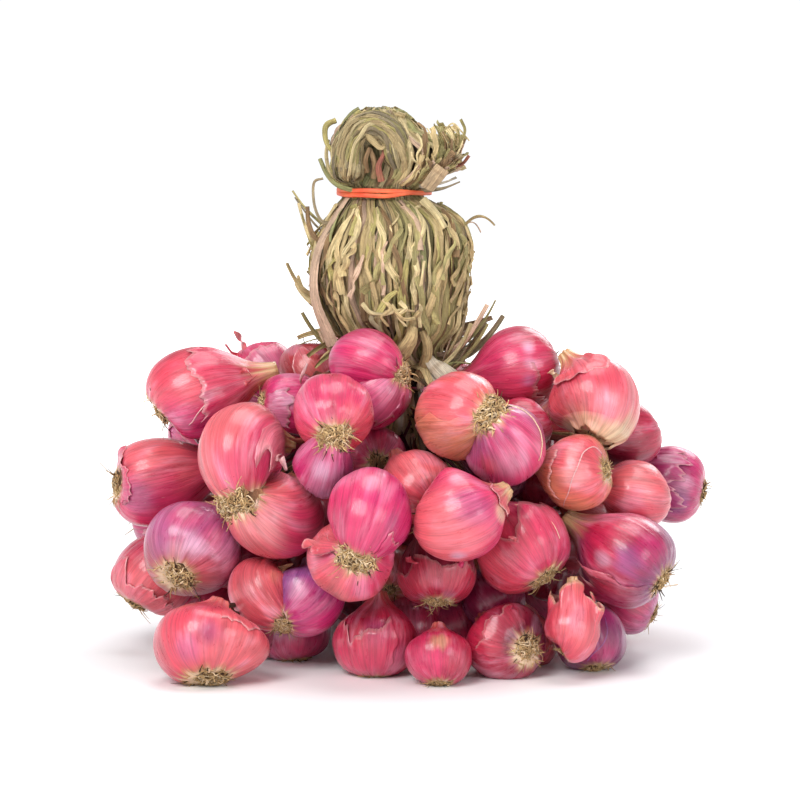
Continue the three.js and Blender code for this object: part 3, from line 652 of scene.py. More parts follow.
# How each clove of the front bulbs looks: two skin colours and the side on which the second shows (right,
# up), then patches (right, up, size in bellies, colour, strength). Bulbs with two cloves have two looks.
frontLooks = [
    [("coral", "magenta", (0.1, -0.9), [(-0.1, 0.35, 0.5, "salmon", 0.5), (0.3, 0.05, 0.16, "silver", 0.5)])],
    [("rose", "magenta", (0.6, -0.4), [(0.1, 0.4, 0.5, "silver", 0.25)])],
    [("brick", "wine", (0.2, -0.7), [(0.0, 0.3, 0.4, "orange", 0.4)])],
    [("rose", "magenta", (0.2, 0.5), [(0.1, 0.2, 0.3, "silver", 0.45), (-0.6, -0.2, 0.4, "crimson", 0.5)])],
    [
        ("rose", "magenta", (-0.2, -0.8), [
            (0.3, 0.3, 0.35, "silver", 0.3), (-0.5, 0.1, 0.4, "magenta", 0.7),
        ]),
        ("magenta", "rose", (0.5, 0.5), [(-0.3, 0.4, 0.3, "rose", 0.6), (0.2, 0.3, 0.2, "silver", 0.25)]),
    ],
    [("rose", "salmon", (0.1, 0.8), [(-0.35, -0.3, 0.45, "mauve", 0.65), (0.3, 0.1, 0.4, "rose", 0.5)])],
    [
        ("salmon", "rose", (0.7, -0.2), [(-0.2, 0.5, 0.5, "salmon", 0.7), (0.5, 0.1, 0.2, "pale", 0.35)]),
        ("salmon", "rose", (0.8, -0.5), [(-0.1, 0.1, 0.6, "pale", 0.35)]),
    ],
    [
        ("coral", "rose", (-0.2, 0.7), [(0.5, 0.1, 0.4, "salmon", 0.6)]),
        ("plum", "magenta", (-0.6, 0.2), [(0.0, 0.0, 0.35, "silver", 0.6)]),
    ],
    [("mauve", "rust", (-0.4, -0.8), [
        (0.1, 0.15, 0.4, "silver", 0.6), (0.5, 0.3, 0.35, "rose", 0.7), (-0.55, 0.1, 0.3, "violet", 0.4),
        (0.3, -0.4, 0.45, "salmon", 0.6), (-0.1, 0.75, 0.4, "rose", 0.5),
    ])],
    [("crimson", "salmon", (-0.4, -0.5), [(0.0, 0.5, 0.4, "coral", 0.6)])],
    [("coral", "salmon", (0.7, -0.2), [(0.05, 0.35, 0.38, "plum", 0.65), (-0.35, 0.0, 0.4, "mauve", 0.55)])],
    [
        ("violet", "magenta", (0.5, -0.5), [(-0.2, 0.3, 0.4, "silver", 0.4)]),
        ("coral", "salmon", (-0.3, 0.4), [(0.4, 0.5, 0.25, "tan", 0.5)]),
    ],
    [("mauve", "rose", (0.3, -0.6), [(-0.3, 0.2, 0.5, "silver", 0.6), (0.3, 0.0, 0.3, "magenta", 0.6)])],
    [
        ("magenta", "rose", (-0.5, 0.2), [(0.1, 0.5, 0.45, "magenta", 0.7), (0.5, -0.1, 0.3, "plum", 0.4)]),
        ("salmon", "rose", (0.4, 0.3), [(-0.1, -0.2, 0.5, "salmon", 0.6), (0.0, 0.35, 0.3, "tan", 0.5)]),
    ],
    [("crimson", "rose", (-0.4, -0.5), [(0.1, 0.4, 0.4, "mauve", 0.5), (-0.5, 0.3, 0.3, "coral", 0.5)])],
    [("crimson", "rose", (-0.5, 0.0), [(0.0, 0.6, 0.3, "tan", 0.75), (0.4, 0.0, 0.3, "coral", 0.4)])],
    [("salmon", "coral", (-0.3, -0.6), [(0.2, 0.4, 0.4, "pale", 0.25)])],
    [("wine", "rose", (0.2, 0.5), [(0.0, 0.3, 0.3, "mauve", 0.35)])],
    [("rose", "salmon", (-0.6, -0.3), [
        (0.15, 0.35, 0.5, "mauve", 0.6), (-0.1, -0.75, 0.22, "silver", 0.7), (0.85, 0.1, 0.25, "cream", 0.6),
        (-0.6, -0.2, 0.35, "salmon", 0.6),
    ])],
    [("crimson", "wine", (0.0, 0.75), [(-0.3, -0.2, 0.4, "coral", 0.4)])],
    [
        ("orange", "coral", (-0.2, 0.7), [(0.4, -0.3, 0.4, "tan", 0.6), (-0.5, 0.0, 0.4, "salmon", 0.5)]),
        ("mauve", "rose", (0.5, -0.3), [
            (0.0, 0.3, 0.35, "plum", 0.4), (0.1, -0.3, 0.5, "silver", 0.35), (-0.4, -0.4, 0.3, "salmon", 0.5),
        ]),
    ],
    [("crimson", "rose", (-0.6, 0.2), [
        (0.2, -0.15, 0.22, "violet", 0.7), (0.22, 0.2, 0.2, "silver", 0.6), (0.2, 0.55, 0.2, "silver", 0.6),
    ])],
    [("salmon", "coral", (-0.2, 0.8), [
        (0.2, 0.1, 0.5, "pale", 0.25), (-0.1, -0.93, 0.95, "cream", 0.8), (0.3, -0.85, 0.8, "cream", 0.5),
    ])],
    [("crimson", "wine", (0.2, -0.6), [(-0.1, 0.3, 0.3, "coral", 0.5)])],
    [("orange", "coral", (0.3, 0.5), [(-0.1, 0.0, 0.5, "pale", 0.45), (-0.2, 0.6, 0.25, "pale", 0.4)])],
    [("crimson", "wine", (-0.2, -0.8), [(0.1, 0.3, 0.4, "rose", 0.4)])],
    [("magenta", "plum", (-0.5, 0.1), [(0.3, 0.1, 0.3, "silver", 0.25), (0.1, -0.4, 0.35, "violet", 0.6)])],
    [("salmon", "coral", (0.1, -0.8), [(0.2, 0.3, 0.5, "pale", 0.25)])],
    [("plum", "crimson", (-0.4, 0.6), [
        (-0.1, 0.1, 0.35, "violet", 0.6), (0.4, 0.3, 0.35, "magenta", 0.6), (-0.6, 0.1, 0.25, "silver", 0.5),
    ])],
    [("coral", "rose", (0.5, 0.4), [(-0.3, 0.2, 0.45, "crimson", 0.45), (0.2, -0.5, 0.3, "salmon", 0.5)])],
    [("crimson", "wine", (0.6, 0.3), [(0.3, -0.3, 0.28, "silver", 0.25), (-0.4, 0.2, 0.4, "coral", 0.3)])],
    [("coral", "salmon", (0.2, 0.6), [(-0.3, -0.2, 0.4, "crimson", 0.35)])],
    [("plum", "magenta", (-0.3, 0.4), [(0.1, 0.1, 0.2, "violet", 0.7), (0.5, -0.2, 0.4, "magenta", 0.5)])],
    [("crimson", "salmon", (0.3, 0.3), [])],
    [("mauve", "rose", (-0.4, 0.3), [(0.3, 0.1, 0.4, "salmon", 0.4)])],
]
backKinds = [
    ("coral", "rose"), ("rose", "magenta"), ("salmon", "coral"), ("crimson", "rose"), ("plum", "magenta"),
    ("magenta", "crimson"), ("orange", "salmon"), ("mauve", "rose"),
]


# The skin's colour at points of a clove.
def skinTint(form, turn, u, points, look):
    first, second, side, patches = look
    rng = np.random.default_rng(form.seeds[1])
    way = unit(points - form.lobe["belly"])
    toSecond = way @ wayTo(*side)
    cloud = wander(rng, turn, u * 4, (1, 4), (0.5, 3), 8)
    streaks = wander(rng, turn, u * 2, (9, 26), (0, 1.5), 12)
    colours = np.broadcast_to(paint[first], points.shape).copy()
    toSecond = toSecond + 0.14 * cloud + 0.03 * streaks
    colours = blendTo(colours, paint[second], 0.9 * smooth(0.05, 0.95, toSecond))
    for right, high, size, colour, strength in patches:
        apart = np.arccos(np.clip(way @ wayTo(right, high), -1, 1))
        edge = apart + 0.14 * size * cloud + 0.07 * size * streaks
        colours = blendTo(colours, paint[colour], strength * smooth(size * 1.2, size * 0.25, edge))
    mottle = wander(rng, turn, u * 9, (3, 14), (1, 4), 14)
    colours = colours * (1 + 0.09 * cloud + 0.03 * streaks + 0.05 * mottle)[..., None]
    colours = blendTo(colours, paint["silver"], 0.30 * smooth(0.6, 1.9, cloud + 0.3 * mottle))
    ends = wander(rng, turn, u * 5, (7, 20), (0, 4), 10)
    rootward = u + 0.013 * ends
    pale = rootTuft["pale"] + 0.24 * (form.tuft - rootTuft["plate"])
    colours = blendTo(colours, paint["tan"], 0.5 * smooth(pale + 0.06, pale, rootward))
    colours = blendTo(colours, paint["cream"], 0.85 * smooth(pale + 0.012, pale - 0.03, rootward))
    neckward = u + 0.02 * ends
    colours = blendTo(colours, paint["tan"], form.dryNeck * 0.5 * smooth(0.78, 0.92, neckward))
    return blendTo(colours, paint["straw"], form.dryNeck * 0.85 * smooth(0.90, 0.98, neckward))


def cloveSkin(form, meshSize, look):
    rows, columns = meshSize
    u = np.linspace(0, 1, rows)[1:, None]
    turn = 2 * np.pi * np.arange(columns)[None] / columns
    turn, u = np.broadcast_arrays(turn, u)
    grid = form.surface(turn, u)
    colours = skinTint(form, turn, u, grid, look)
    ends = [form.surface(0.0, 0.0), (form.surface(0.0, 1.0) + grid[-1].mean(axis=0)) * 0.5]
    points = np.concatenate([grid.reshape(-1, 3), ends])
    tint = np.concatenate([colours.reshape(-1, 3), [paint["soil"]] * 2])
    grown = np.concatenate([form.grown(turn, u).reshape(-1, 3), [form.grown(0.0, 0.0), form.grown(0.0, 1.0)]])
    return points, closedFaces(rows - 1, columns), tint, grown


# The dry root tuft: a dark plate under a mat of curly straw-coloured roots, with a fringe round its edge.
# Sizes are in bellies, and hair in millimetres. Some bulbs show a broader or a smaller tuft.
rootTuft = {
    "plate": 0.33, "dome": 0.05, "mat": 110, "fringe": 34, "back": 0.4, "steps": 7, "long": (0.2, 0.5),
    "hair": (0.4, 0.85), "high": (0.02, 0.13), "lying": 16, "pale": 0.125, "clear": 94,
    "fringeLong": (0.08, 0.24), "lyingWide": (0.35, 0.7), "grid": (7, 22), "skirt": 0.05, "sharedSkirt": 0.5,
}
tuftSizes = {
    2: 0.2, 5: 0.36, 7: 0.5, 8: 0.42, 9: 0.36, 11: 0.42, 14: 0.46, 15: 0.28, 16: 0.3, 17: 0.2, 19: 0.24,
    21: 0.44, 22: 0.22, 23: 0.12, 24: 0.2, 25: 0.26, 26: 0.2, 27: 0.26, 28: 0.2, 29: 0.26, 30: 0.3, 31: 0.38,
    32: 0.24,
}


def growRoots(heap, root, out, radius, tuft, share, forms, rng):
    right = unit(np.cross(up, out)) if abs(out[2]) < 0.98 else np.array([1.0, 0, 0])
    above = np.cross(out, right)
    if len(forms) > 1:
        turn, u = np.meshgrid(np.linspace(0, 2 * np.pi, 60), np.linspace(0.02, 0.45, 24))
        near = np.concatenate([form.surface(turn, u).reshape(-1, 3) for form in forms]) - root
        depth = near @ out
        beside = np.linalg.norm(near - depth[:, None] * out, axis=1)
        root = root + out * max(0.0, np.percentile(depth[beside < tuft * radius], rootTuft["clear"]))
    place = (root, out, right, above, radius, tuft)
    rootPlate(heap, *place, len(forms) > 1, rng)
    rootMat(heap, *place, share, rng)
    rootFringe(heap, *place, share, rng)
    for form in forms:
        lyingRoots(heap, form, tuft, share, rng)


# The dark plate, which reaches down between the cloves where there are two.
def rootPlate(heap, root, out, right, above, radius, tuft, shared, rng):
    rings, spokes = rootTuft["grid"]
    part = np.linspace(0.0, 1, rings)[1:, None]
    angle = 2 * np.pi * np.arange(spokes)[None] / spokes
    rough = 1 + 0.3 * wander(rng, angle, part * 3, (2, 7), (0, 3), 8)
    reach = tuft * radius * part * (1 + 0.08 * wander(rng, angle, 0.0, (2, 5), (0, 0), 5))
    skirt = rootTuft["sharedSkirt" if shared else "skirt"]
    height = rootTuft["dome"] * radius * (1 - part**2) * rough - skirt * radius * part**6
    spot = right * np.cos(angle)[..., None] + above * np.sin(angle)[..., None]
    plate = root + spot * reach[..., None] + out * (height - 0.01 * radius)[..., None]
    points = np.concatenate([plate.reshape(-1, 3), (root + out * rootTuft["dome"] * radius)[None]])
    ring = np.arange(spokes)
    fan = fanFaces(len(points) - 1, ring, (ring + 1) % spokes)
    tint = blendTo(np.broadcast_to(paint["soil"], plate.shape), paint["root"], 0.5 * smooth(0.8, 1.5, rough))
    if shared:
        tint = blendTo(tint, paint["tan"] * 0.8, smooth(0.8, 0.95, part + 0 * angle))
    quads = gridFaces(rings - 1, spokes, True)[:, ::-1]
    heap.add(points, [quads, fan], np.concatenate([tint.reshape(-1, 3), paint["soil"][None]]), points)


# The curly roots over the plate.
def rootMat(heap, root, out, right, above, radius, tuft, share, rng):
    steps = rootTuft["steps"]
    along = np.linspace(0, 1, steps)[None, :, None]
    mat = int(rootTuft["mat"] * share * (tuft / rootTuft["plate"]) ** 1.3)
    angle = rng.uniform(0, 2 * np.pi, mat)
    distance = np.sqrt(rng.uniform(0, 1, mat)) * tuft * radius * 0.9
    start = root + (right * np.cos(angle)[:, None] + above * np.sin(angle)[:, None]) * distance[:, None]
    length = rng.uniform(*rootTuft["long"], (mat, 1, 1)) * radius
    heading = rng.uniform(0, 2 * np.pi, (mat, 1, 1)) + rng.uniform(-3.5, 3.5, (mat, 1, 1)) * along
    heading = heading + 0.7 * np.sin(rng.uniform(4, 10, (mat, 1, 1)) * along + rng.uniform(0, 6, (mat, 1, 1)))
    steer = (right * np.cos(heading) + above * np.sin(heading)) * length / steps
    path = start[:, None] + np.cumsum(steer, axis=1) - steer.sum(axis=1, keepdims=True) / 2
    apart = path - root
    apart = apart - out * (apart @ out)[..., None]
    far = np.linalg.norm(apart, axis=-1, keepdims=True) / (tuft * radius)
    path = path - apart * np.maximum(0, 1 - 1.05 / np.maximum(far, 0.01))
    high = rng.uniform(*rootTuft["high"], (mat, 1, 1)) * radius
    wave = 0.5 + 0.5 * np.sin(rng.uniform(3, 9, (mat, 1, 1)) * along + rng.uniform(0, 6, (mat, 1, 1)))
    rise = high * (0.35 + 0.65 * wave) * (1 - 0.45 * np.minimum(far, 1) ** 2)
    path = path + out * (rise - 0.05 * radius * far**2)
    width = rng.uniform(*rootTuft["hair"], (mat, 1)) * np.linspace(1, 0.5, steps)[None] * (radius / 15)
    addHairs(heap, path, np.broadcast_to(out, path.shape), width, ("root", "straw", "straw", "cream"), rng)


# Short roots that stand out round the plate's edge.
def rootFringe(heap, root, out, right, above, radius, tuft, share, rng):
    steps = rootTuft["steps"]
    along = np.linspace(0, 1, steps)[None, :, None]
    fringe = int(rootTuft["fringe"] * share)
    angle = rng.uniform(0, 2 * np.pi, fringe)
    spot = right * np.cos(angle)[:, None] + above * np.sin(angle)[:, None]
    start = root + spot * tuft * radius * 0.85
    length = rng.uniform(*rootTuft["fringeLong"], (fringe, 1, 1)) * radius
    lean = rng.normal(0, 0.3, (fringe, 1, 3)) + spot[:, None] + out * rng.uniform(0.1, 1.1, (fringe, 1, 1))
    bend = rng.normal(0, 0.4, (fringe, 1, 3)) - 0.4 * out
    path = start[:, None] + lean * length * along + bend * length * along**2
    width = rng.uniform(*rootTuft["hair"], (fringe, 1)) * np.linspace(0.9, 0.3, steps)[None] * (radius / 15)
    addHairs(heap, path, np.broadcast_to(out, path.shape), width, ("root", "straw", "soil"), rng)


# Roots that lie back on the skin.
def lyingRoots(heap, form, tuft, share, rng):
    lying = int(rootTuft["lying"] * share)
    along = np.linspace(0, 1, rootTuft["steps"])[None]
    turn = rng.uniform(0, 2 * np.pi, (lying, 1)) + rng.normal(0, 0.25, (lying, 1)) * along
    u = 0.09 + 0.24 * (tuft - 0.3) + rng.uniform(0.03, 0.08, (lying, 1)) * along
    facing = form.outward(turn, u)
    lift = 0.1 + rng.uniform(0, 0.5, (lying, 1)) * along**2
    path = form.surface(turn, u) + facing * lift[..., None]
    width = rng.uniform(*rootTuft["lyingWide"], (lying, 1)) * np.linspace(1, 0.2, rootTuft["steps"])[None]
    addHairs(heap, path, facing, width, ("cream", "straw", "root"), rng)


def addHairs(heap, path, facing, width, colours, rng):
    points, faces = ribbons(path, facing, width, width * 0.6, 0.0, 0.0, 4)
    chosen = np.array([paint[name] for name in colours])[rng.integers(0, len(colours), len(path))]
    chosen = chosen * rng.uniform(0.7, 1.15, (len(path), 1))
    tint = np.broadcast_to(chosen[:, None, None], points.shape)
    heap.add(points, faces, tint, ribbonGrown(rng, points, path, width))


# A torn piece of outer skin that lies on a clove and lifts along part of its ragged edge. at: right and up on
# the clove as seen. size: half turn round in radians and half share along. lift: millimetres at the edge.
# inside: how dark the inner face is painted, as painted shade under the lifted skin.
tornEdge = {"base": 0.3, "ragged": 0.22, "thick": 0.16, "inside": 0.7, "grid": (9, 88)}


def tornSkin(heap, form, at, size, lift, look, colour, rng):
    turnAt, uAt = form.seenAt(*at)
    rings, spokes = tornEdge["grid"]
    share = np.linspace(0, 1, rings)[:, None]
    angle = 2 * np.pi * np.arange(spokes)[None] / spokes
    rag = 1 + tornEdge["ragged"] * wander(rng, angle, 0.0, (1, 4), (0, 0), 5)
    rag = rag + 0.03 * wander(rng, angle, 0.0, (6, 14), (0, 0), 7)
    rag = rag + 0.012 * wander(rng, angle, 0.0, (20, 44), (0, 0), 9)
    turn = turnAt + size[0] * share * rag * np.cos(angle)
    u = np.clip(uAt + size[1] * share * rag * np.sin(angle), 0.12, 0.97)
    facing = form.outward(turn, u)
    raised = smooth(-0.4, 0.9, wander(rng, angle, 0.0, (1, 3), (0, 0), 4))
    height = tornEdge["base"] * smooth(1.05, 0.85, share) + 0.02
    height = height + lift * raised * smooth(0.55, 1.0, share) ** 1.5
    outer = form.surface(turn, u) + facing * height[..., None]
    inner = outer - facing * tornEdge["thick"]
    tint = blendTo(skinTint(form, turn, u, outer, look), paint[colour], 0.5)
    tint = blendTo(tint, paint["pale"], 0.5 * smooth(0.94, 1.0, share + 0 * angle)).reshape(-1, 3)
    points = np.concatenate([outer.reshape(-1, 3), inner.reshape(-1, 3)])
    count = rings * spokes
    quads = gridFaces(rings, spokes, True)
    rim = (rings - 1) * spokes + np.arange(spokes)
    after = np.roll(rim, -1)
    sides = np.stack([rim, rim + count, after + count, after], axis=-1)
    faces = [quads[:, ::-1], quads + count, sides[:, ::-1]]
    grown = np.concatenate([form.grown(turn, u).reshape(-1, 3)] * 2)
    # The inner face is painted darker, as painted shade under the lifted skin.
    heap.add(points, faces, np.concatenate([tint, tint * tornEdge["inside"]]), grown)


# An outer layer of skin that lies on a clove from one share along it and ends in a torn edge at another.
# Its start is sunk into the skin below. It goes all round, or spans half each way from the place seen at,
# with its sides torn along the fibres, and may have a notch: how far round, how wide and how deep it is.
layerForm = {"rows": 12, "columns": 90, "wideColumns": 140, "sunk": 0.16, "rise": 0.42, "shade": 0.8}


def skinLayer(heap, form, look, part, rng):
    rows, columns = layerForm["rows"], layerForm["wideColumns" if part["half"] > 2 else "columns"]
    middle = form.seenAt(*part["at"])[0]
    across = np.linspace(-1, 1, columns)
    share = np.linspace(0, 1, rows)[:, None]
    half = min(part["half"], np.pi)
    turn = middle + half * across
    tear = kinks(rng, 1, columns, max(3, int(half * 5)), 1.0)[0]
    tear = tear + kinks(rng, 1, columns, int(half * 18), 0.4)[0]
    tear = part["ragged"] * (tear + 0.25 * kinks(rng, 1, columns, int(half * 44), 0.5)[0])
    if half >= np.pi:
        tear = tear * smooth(1, 0.94, np.abs(across))
    if part.get("notch"):
        notchAt, notchWide, notchDeep = part["notch"]
        tear = tear - notchDeep * np.maximum(0, 1 - np.abs(turn - middle - notchAt) / notchWide)
    u = part["from"] + (part["to"] - part["from"]) * share * (1 + tear)
    if half < np.pi:
        sides = kinks(rng, 2, rows, 8, 0.07)
        edge = np.where(across < 0, sides[0][:, None], sides[1][:, None]) * np.abs(across) ** 3
        turn = middle + half * across * (1 - 0.12 * share + edge)
    turn, u = np.broadcast_arrays(turn, np.clip(u, 0.06, 0.995))
    facing = form.outward(turn, u)
    wave = 0.6 + 0.5 * wander(rng, turn, share * 1.5, (2, 7), (0, 1), 6)
    height = layerForm["rise"] * smooth(0, 0.3, share) - layerForm["sunk"]
    height = height + part["lift"] * np.maximum(wave, 0.02) * smooth(0.5, 1.0, share) ** 1.6
    if half < np.pi:
        height = height + 0.3 * part["lift"] * np.abs(across) ** 6 * smooth(0.1, 0.5, share)
    outer = form.surface(turn, u) + facing * height[..., None]
    inner = outer - facing * tornEdge["thick"]
    lean = part["much"] * smooth(0.0, 0.5, share + 0 * turn)
    tint = blendTo(skinTint(form, turn, u, outer, look), paint[part["lean"]], lean)
    rim = smooth(0.955, 0.985, share + 0.01 * wander(rng, turn, 0, (5, 20), (0, 0), 6))
    tint = blendTo(tint, paint[part.get("rim", "pale")], 0.6 * rim)
    # The inner face is painted darker, as painted shade under the lifted layer, and paler towards the torn
    # edge.
    shade = layerForm["shade"]
    within = blendTo(tint * shade, paint["pale"] * shade, 0.4 * smooth(0.6, 1, share + 0 * turn))
    count = rows * columns
    quads = gridFaces(rows, columns, False)
    index = np.arange(count).reshape(rows, columns)
    edges = (index[-1], index[0, ::-1], index[:, 0], index[::-1, -1])
    sides = [np.stack([edge[:-1], edge[1:], edge[1:] + count, edge[:-1] + count], axis=-1) for edge in edges]
    faces = [quads, quads[:, ::-1] + count, *sides]
    if part["to"] < part["from"]:
        faces = [face[:, ::-1] for face in faces]
    points = np.concatenate([outer.reshape(-1, 3), inner.reshape(-1, 3)])
    colours = np.concatenate([tint.reshape(-1, 3), within.reshape(-1, 3)])
    heap.add(points, faces, colours, np.concatenate([form.grown(turn, u).reshape(-1, 3)] * 2))


# A pale raised line where one skin ends on another, through places as seen on the clove.
def skinSeam(heap, form, places, width, lift, colour):
    steps = 36
    spots = [form.seenAt(*place) for place in places]
    turns = np.unwrap([spot[0] for spot in spots])
    at = np.linspace(0, len(places) - 1, steps)
    turn = curveThrough(np.arange(len(places)), turns, at)[None]
    u = curveThrough(np.arange(len(places)), [spot[1] for spot in spots], at)[None]
    u = u + 0.004 * np.sin(at * 9)[None]
    facing = form.outward(turn, u)
    path = form.surface(turn, u) + facing * lift
    wide = width * (0.55 + 0.45 * np.sin(np.linspace(0.15, np.pi - 0.15, steps)))[None]
    points, faces = ribbons(path, facing, wide, 0.3, 0.3, 0.25, 8)
    tint = np.broadcast_to(paint[colour], points.shape)
    heap.add(points, faces, tint, np.broadcast_to(form.grown(turn, u)[:, :, None], points.shape))


# The dry stalk of a neck: thin leaves that leave its tip and run to where the stems gather, or straight
# in under the other bulbs, then narrower and less darkened. Each is darkened by a random share as painted
# shade.
stalk = {
    "front": 3, "back": 5, "steps": 14, "from": 0.92, "stray": 3.0, "width": (1.8, 3.6), "thick": 0.3,
    "lowest": 4.0, "shade": (0.35, 0.75), "straightWide": 0.5, "straightPale": 1.7,
    "colours": ("root", "rust", "wine", "rust", "wine", "soil"),
}


def neckLeaves(heap, form, count, rng, straightIn):
    share = np.linspace(0, 1, stalk["steps"])[None, :, None]
    turn = rng.uniform(0, 2 * np.pi, count)
    start = form.surface(turn, np.full(count, stalk["from"]))
    tip = form.lobe["tip"]
    way = unit(tip - form.between(form.centre, 0.85))
    target = mound["gather"] + np.array([*shift, -6.0]) + rng.normal(0, stalk["stray"], (count, 1, 3))
    if straightIn:
        target = tip * np.array([0.6, 0.2, 0.5]) + rng.normal(0, 1.5, (count, 1, 3))
        way = unit(np.array([0.05, 1.0, -0.4]))
    gap = np.linalg.norm(target - tip, axis=-1, keepdims=True)
    handle = tip + way * np.minimum(gap * 0.45, 12) + rng.normal(0, 1.6, (count, 1, 3))
    path = start[:, None] * (1 - share) ** 2 + handle * 2 * share * (1 - share) + target * share**2
    path[..., 2] = np.maximum(path[..., 2], stalk["lowest"])
    facing = np.broadcast_to(unit(start - tip + way * 0.1)[:, None], path.shape)
    width = rng.uniform(*stalk["width"], (count, 1)) * (1 - 0.35 * share[..., 0]) * (form.radius / 15)
    width = width * (stalk["straightWide"] if straightIn else 1.0)
    curl = rng.uniform(-0.9, 0.9, (count, 1))
    roll = share[..., 0] * rng.uniform(-3, 3, (count, 1))
    points, faces = ribbons(path, facing, width, stalk["thick"], curl, roll, 8)
    colours = np.array([paint[name] for name in stalk["colours"]])
    # Painted shade: each stalk is darkened by a random share, those that run straight in less.
    chosen = colours[rng.integers(0, len(colours), count)] * rng.uniform(*stalk["shade"], (count, 1))
    chosen = chosen * (stalk["straightPale"] if straightIn else 1.0)
    tint = np.broadcast_to(chosen[:, None, None], points.shape)
    heap.add(points, faces, tint, ribbonGrown(rng, points, path, width))


# Torn skins on the front bulbs, by bulb and clove: place as seen, size, lift and the colour they lean to.
tornOn = [
    (3, 0, (0.1, 0.2), (0.6, 0.2), 1.8, "salmon"),
    (3, 0, (0.5, -0.2), (0.5, 0.16), 2.4, "tan"),
    (14, 1, (-0.66, 0.34), (0.3, 0.16), 2.6, "salmon"),
    (23, 0, (-0.3, 0.8), (0.6, 0.12), 1.4, "salmon"),
]

# Outer layers on the front bulbs, by bulb and clove. lean: the colour they lean to, and how much they do.
layerKeys = ("at", "half", "from", "to", "lift", "ragged", "lean", "much", "notch", "rim")
layersOn = [
    (1, 0, (0.1, 0.4), 1.0, 0.93, 0.55, 0.3, 0.1, "rose", 0.35),
    (2, 0, (0.2, 0.2), 0.8, 0.9, 0.5, 0.5, 0.1, "silver", 0.12),
    (4, 0, (0.5, 0.0), 0.7, 0.14, 0.5, 0.3, 0.1, "silver", 0.3),
    (5, 0, (0.3, 0.1), 0.9, 0.13, 0.42, 0.3, 0.25, "silver", 0.15),
    (6, 0, (-0.2, 0.5), 1.2, 0.13, 0.34, 0.6, 0.25, "rose", 0.5),
    (7, 0, (0.85, 0.2), 0.5, 0.9, 0.36, 0.7, 0.08, "pale", 0.3),
    (8, 1, (0.1, -0.1), 0.7, 0.2, 0.6, 0.3, 0.2, "silver", 0.3),
    (10, 0, (-0.1, 0.0), 1.3, 0.13, 0.46, 0.9, 0.22, "coral", 0.5),
    (11, 0, (0.7, 0.4), 0.5, 0.96, 0.6, 0.2, 0.08, "salmon", 0.2),
    (12, 1, (0.55, 0.1), 0.6, 0.14, 0.8, 0.8, 0.12, "salmon", 0.4),
    (14, 0, (0.6, -0.5), 0.6, 0.12, 0.3, 0.4, 0.15, "rose", 0.4),
    (15, 0, (-0.55, 0.0), 1.2, 0.12, 0.62, 0.9, 0.12, "coral", 0.4),
    (19, 0, (0.75, 0.1), 1.2, 0.97, 0.84, 0.9, 0.3, "salmon", 0.4),
    (20, 0, (0.0, 0.1), 4.0, 0.14, 0.5, 0.8, 0.16, "coral", 0.5, (0.2, 0.8, 0.16)),
    (21, 0, (-0.1, -0.6), 0.9, 0.14, 0.6, 0.4, 0.15, "orange", 0.5),
    (22, 0, (-0.6, -0.5), 0.8, 0.92, 0.45, 0.3, 0.1, "coral", 0.3),
    (23, 0, (0.0, -0.6), 4.0, 0.3, 0.12, 1.2, 0.12, "cream", 0.5, None, "straw"),
    (25, 0, (-0.2, 0.0), 0.8, 0.95, 0.6, 0.3, 0.08, "orange", 0.4),
    (27, 0, (0.2, 0.2), 1.2, 0.95, 0.45, 0.8, 0.25, "magenta", 0.4),
    (29, 0, (0.0, -0.9), 0.9, 0.12, 0.72, 1.6, 0.14, "brick", 0.6),
    (30, 0, (-0.1, 0.1), 4.0, 0.12, 0.66, 0.9, 0.05, "coral", 0.4, (0.1, 0.55, 0.42)),
    (31, 0, (-0.3, 0.5), 0.9, 0.16, 0.5, 0.4, 0.12, "coral", 0.3),
    (32, 0, (0.2, 0.2), 4.0, 0.42, 0.84, 4.0, 0.1, "coral", 0.3, (0.8, 0.7, 0.3), "cream"),
    (33, 0, (0.4, 0.2), 0.8, 0.14, 0.85, 0.3, 0.05, "plum", 0.3),
    (34, 0, (0.0, -0.2), 1.2, 0.12, 0.45, 0.6, 0.2, "coral", 0.4),
]

# Seams on the front bulbs: the places they run through as seen, width, lift and colour.
seamsOn = [
    (1, 0, [(-0.1, -0.55), (0.35, -0.05), (0.8, 0.28)], 0.6, 0.05, "pale"),
    (21, 1, [(-0.75, 0.4), (0.0, 0.92), (0.7, 0.5), (0.75, -0.3)], 0.45, 0.12, "cream"),
    (25, 0, [(-0.35, -0.85), (-0.1, 0.1), (0.35, 0.75), (0.75, 0.55)], 0.45, 0.12, "pale"),
    (30, 0, [(-0.2, 0.93), (0.5, 0.7), (0.75, 0.25)], 0.5, 0.15, "cream"),
    (33, 0, [(0.45, 0.7), (0.35, 0.1), (-0.1, -0.5)], 0.6, 0.15, "violet"),
    (5, 0, [(-0.85, 0.35), (-0.3, 0.6), (0.3, 0.72)], 1.0, 0.1, "dark"),
    (12, 0, [(-0.6, 0.7), (-0.75, 0.0), (-0.5, -0.6)], 0.7, 0.2, "pale"),
]

# Where a bulb strays from its plain solid: roots that face another way, a second clove's size, angle and
# distance, necks still moist, stalks that are gone, stalks that run straight in, and necks cut short.
rootLook = {26: [112, 10], 28: [112, -6], 24: [100, 10], 22: [100, 12]}
twinLook = {7: (1.0, 0, 1.14)}
dampness = 0.2
dampNecks = (11, 12, 15, 16, 17, 31, 22, 3, 33)
stalkless = (1, 12, 16, 17, 19, 22, 23, 29, 31, 32, 15, 33)
lowStalks = (11,)
bluntNecks = {32: 0.8, 11: 0.74, 16: 0.7, 15: 0.8, 31: 0.8, 12: 0.8, 19: 0.86}

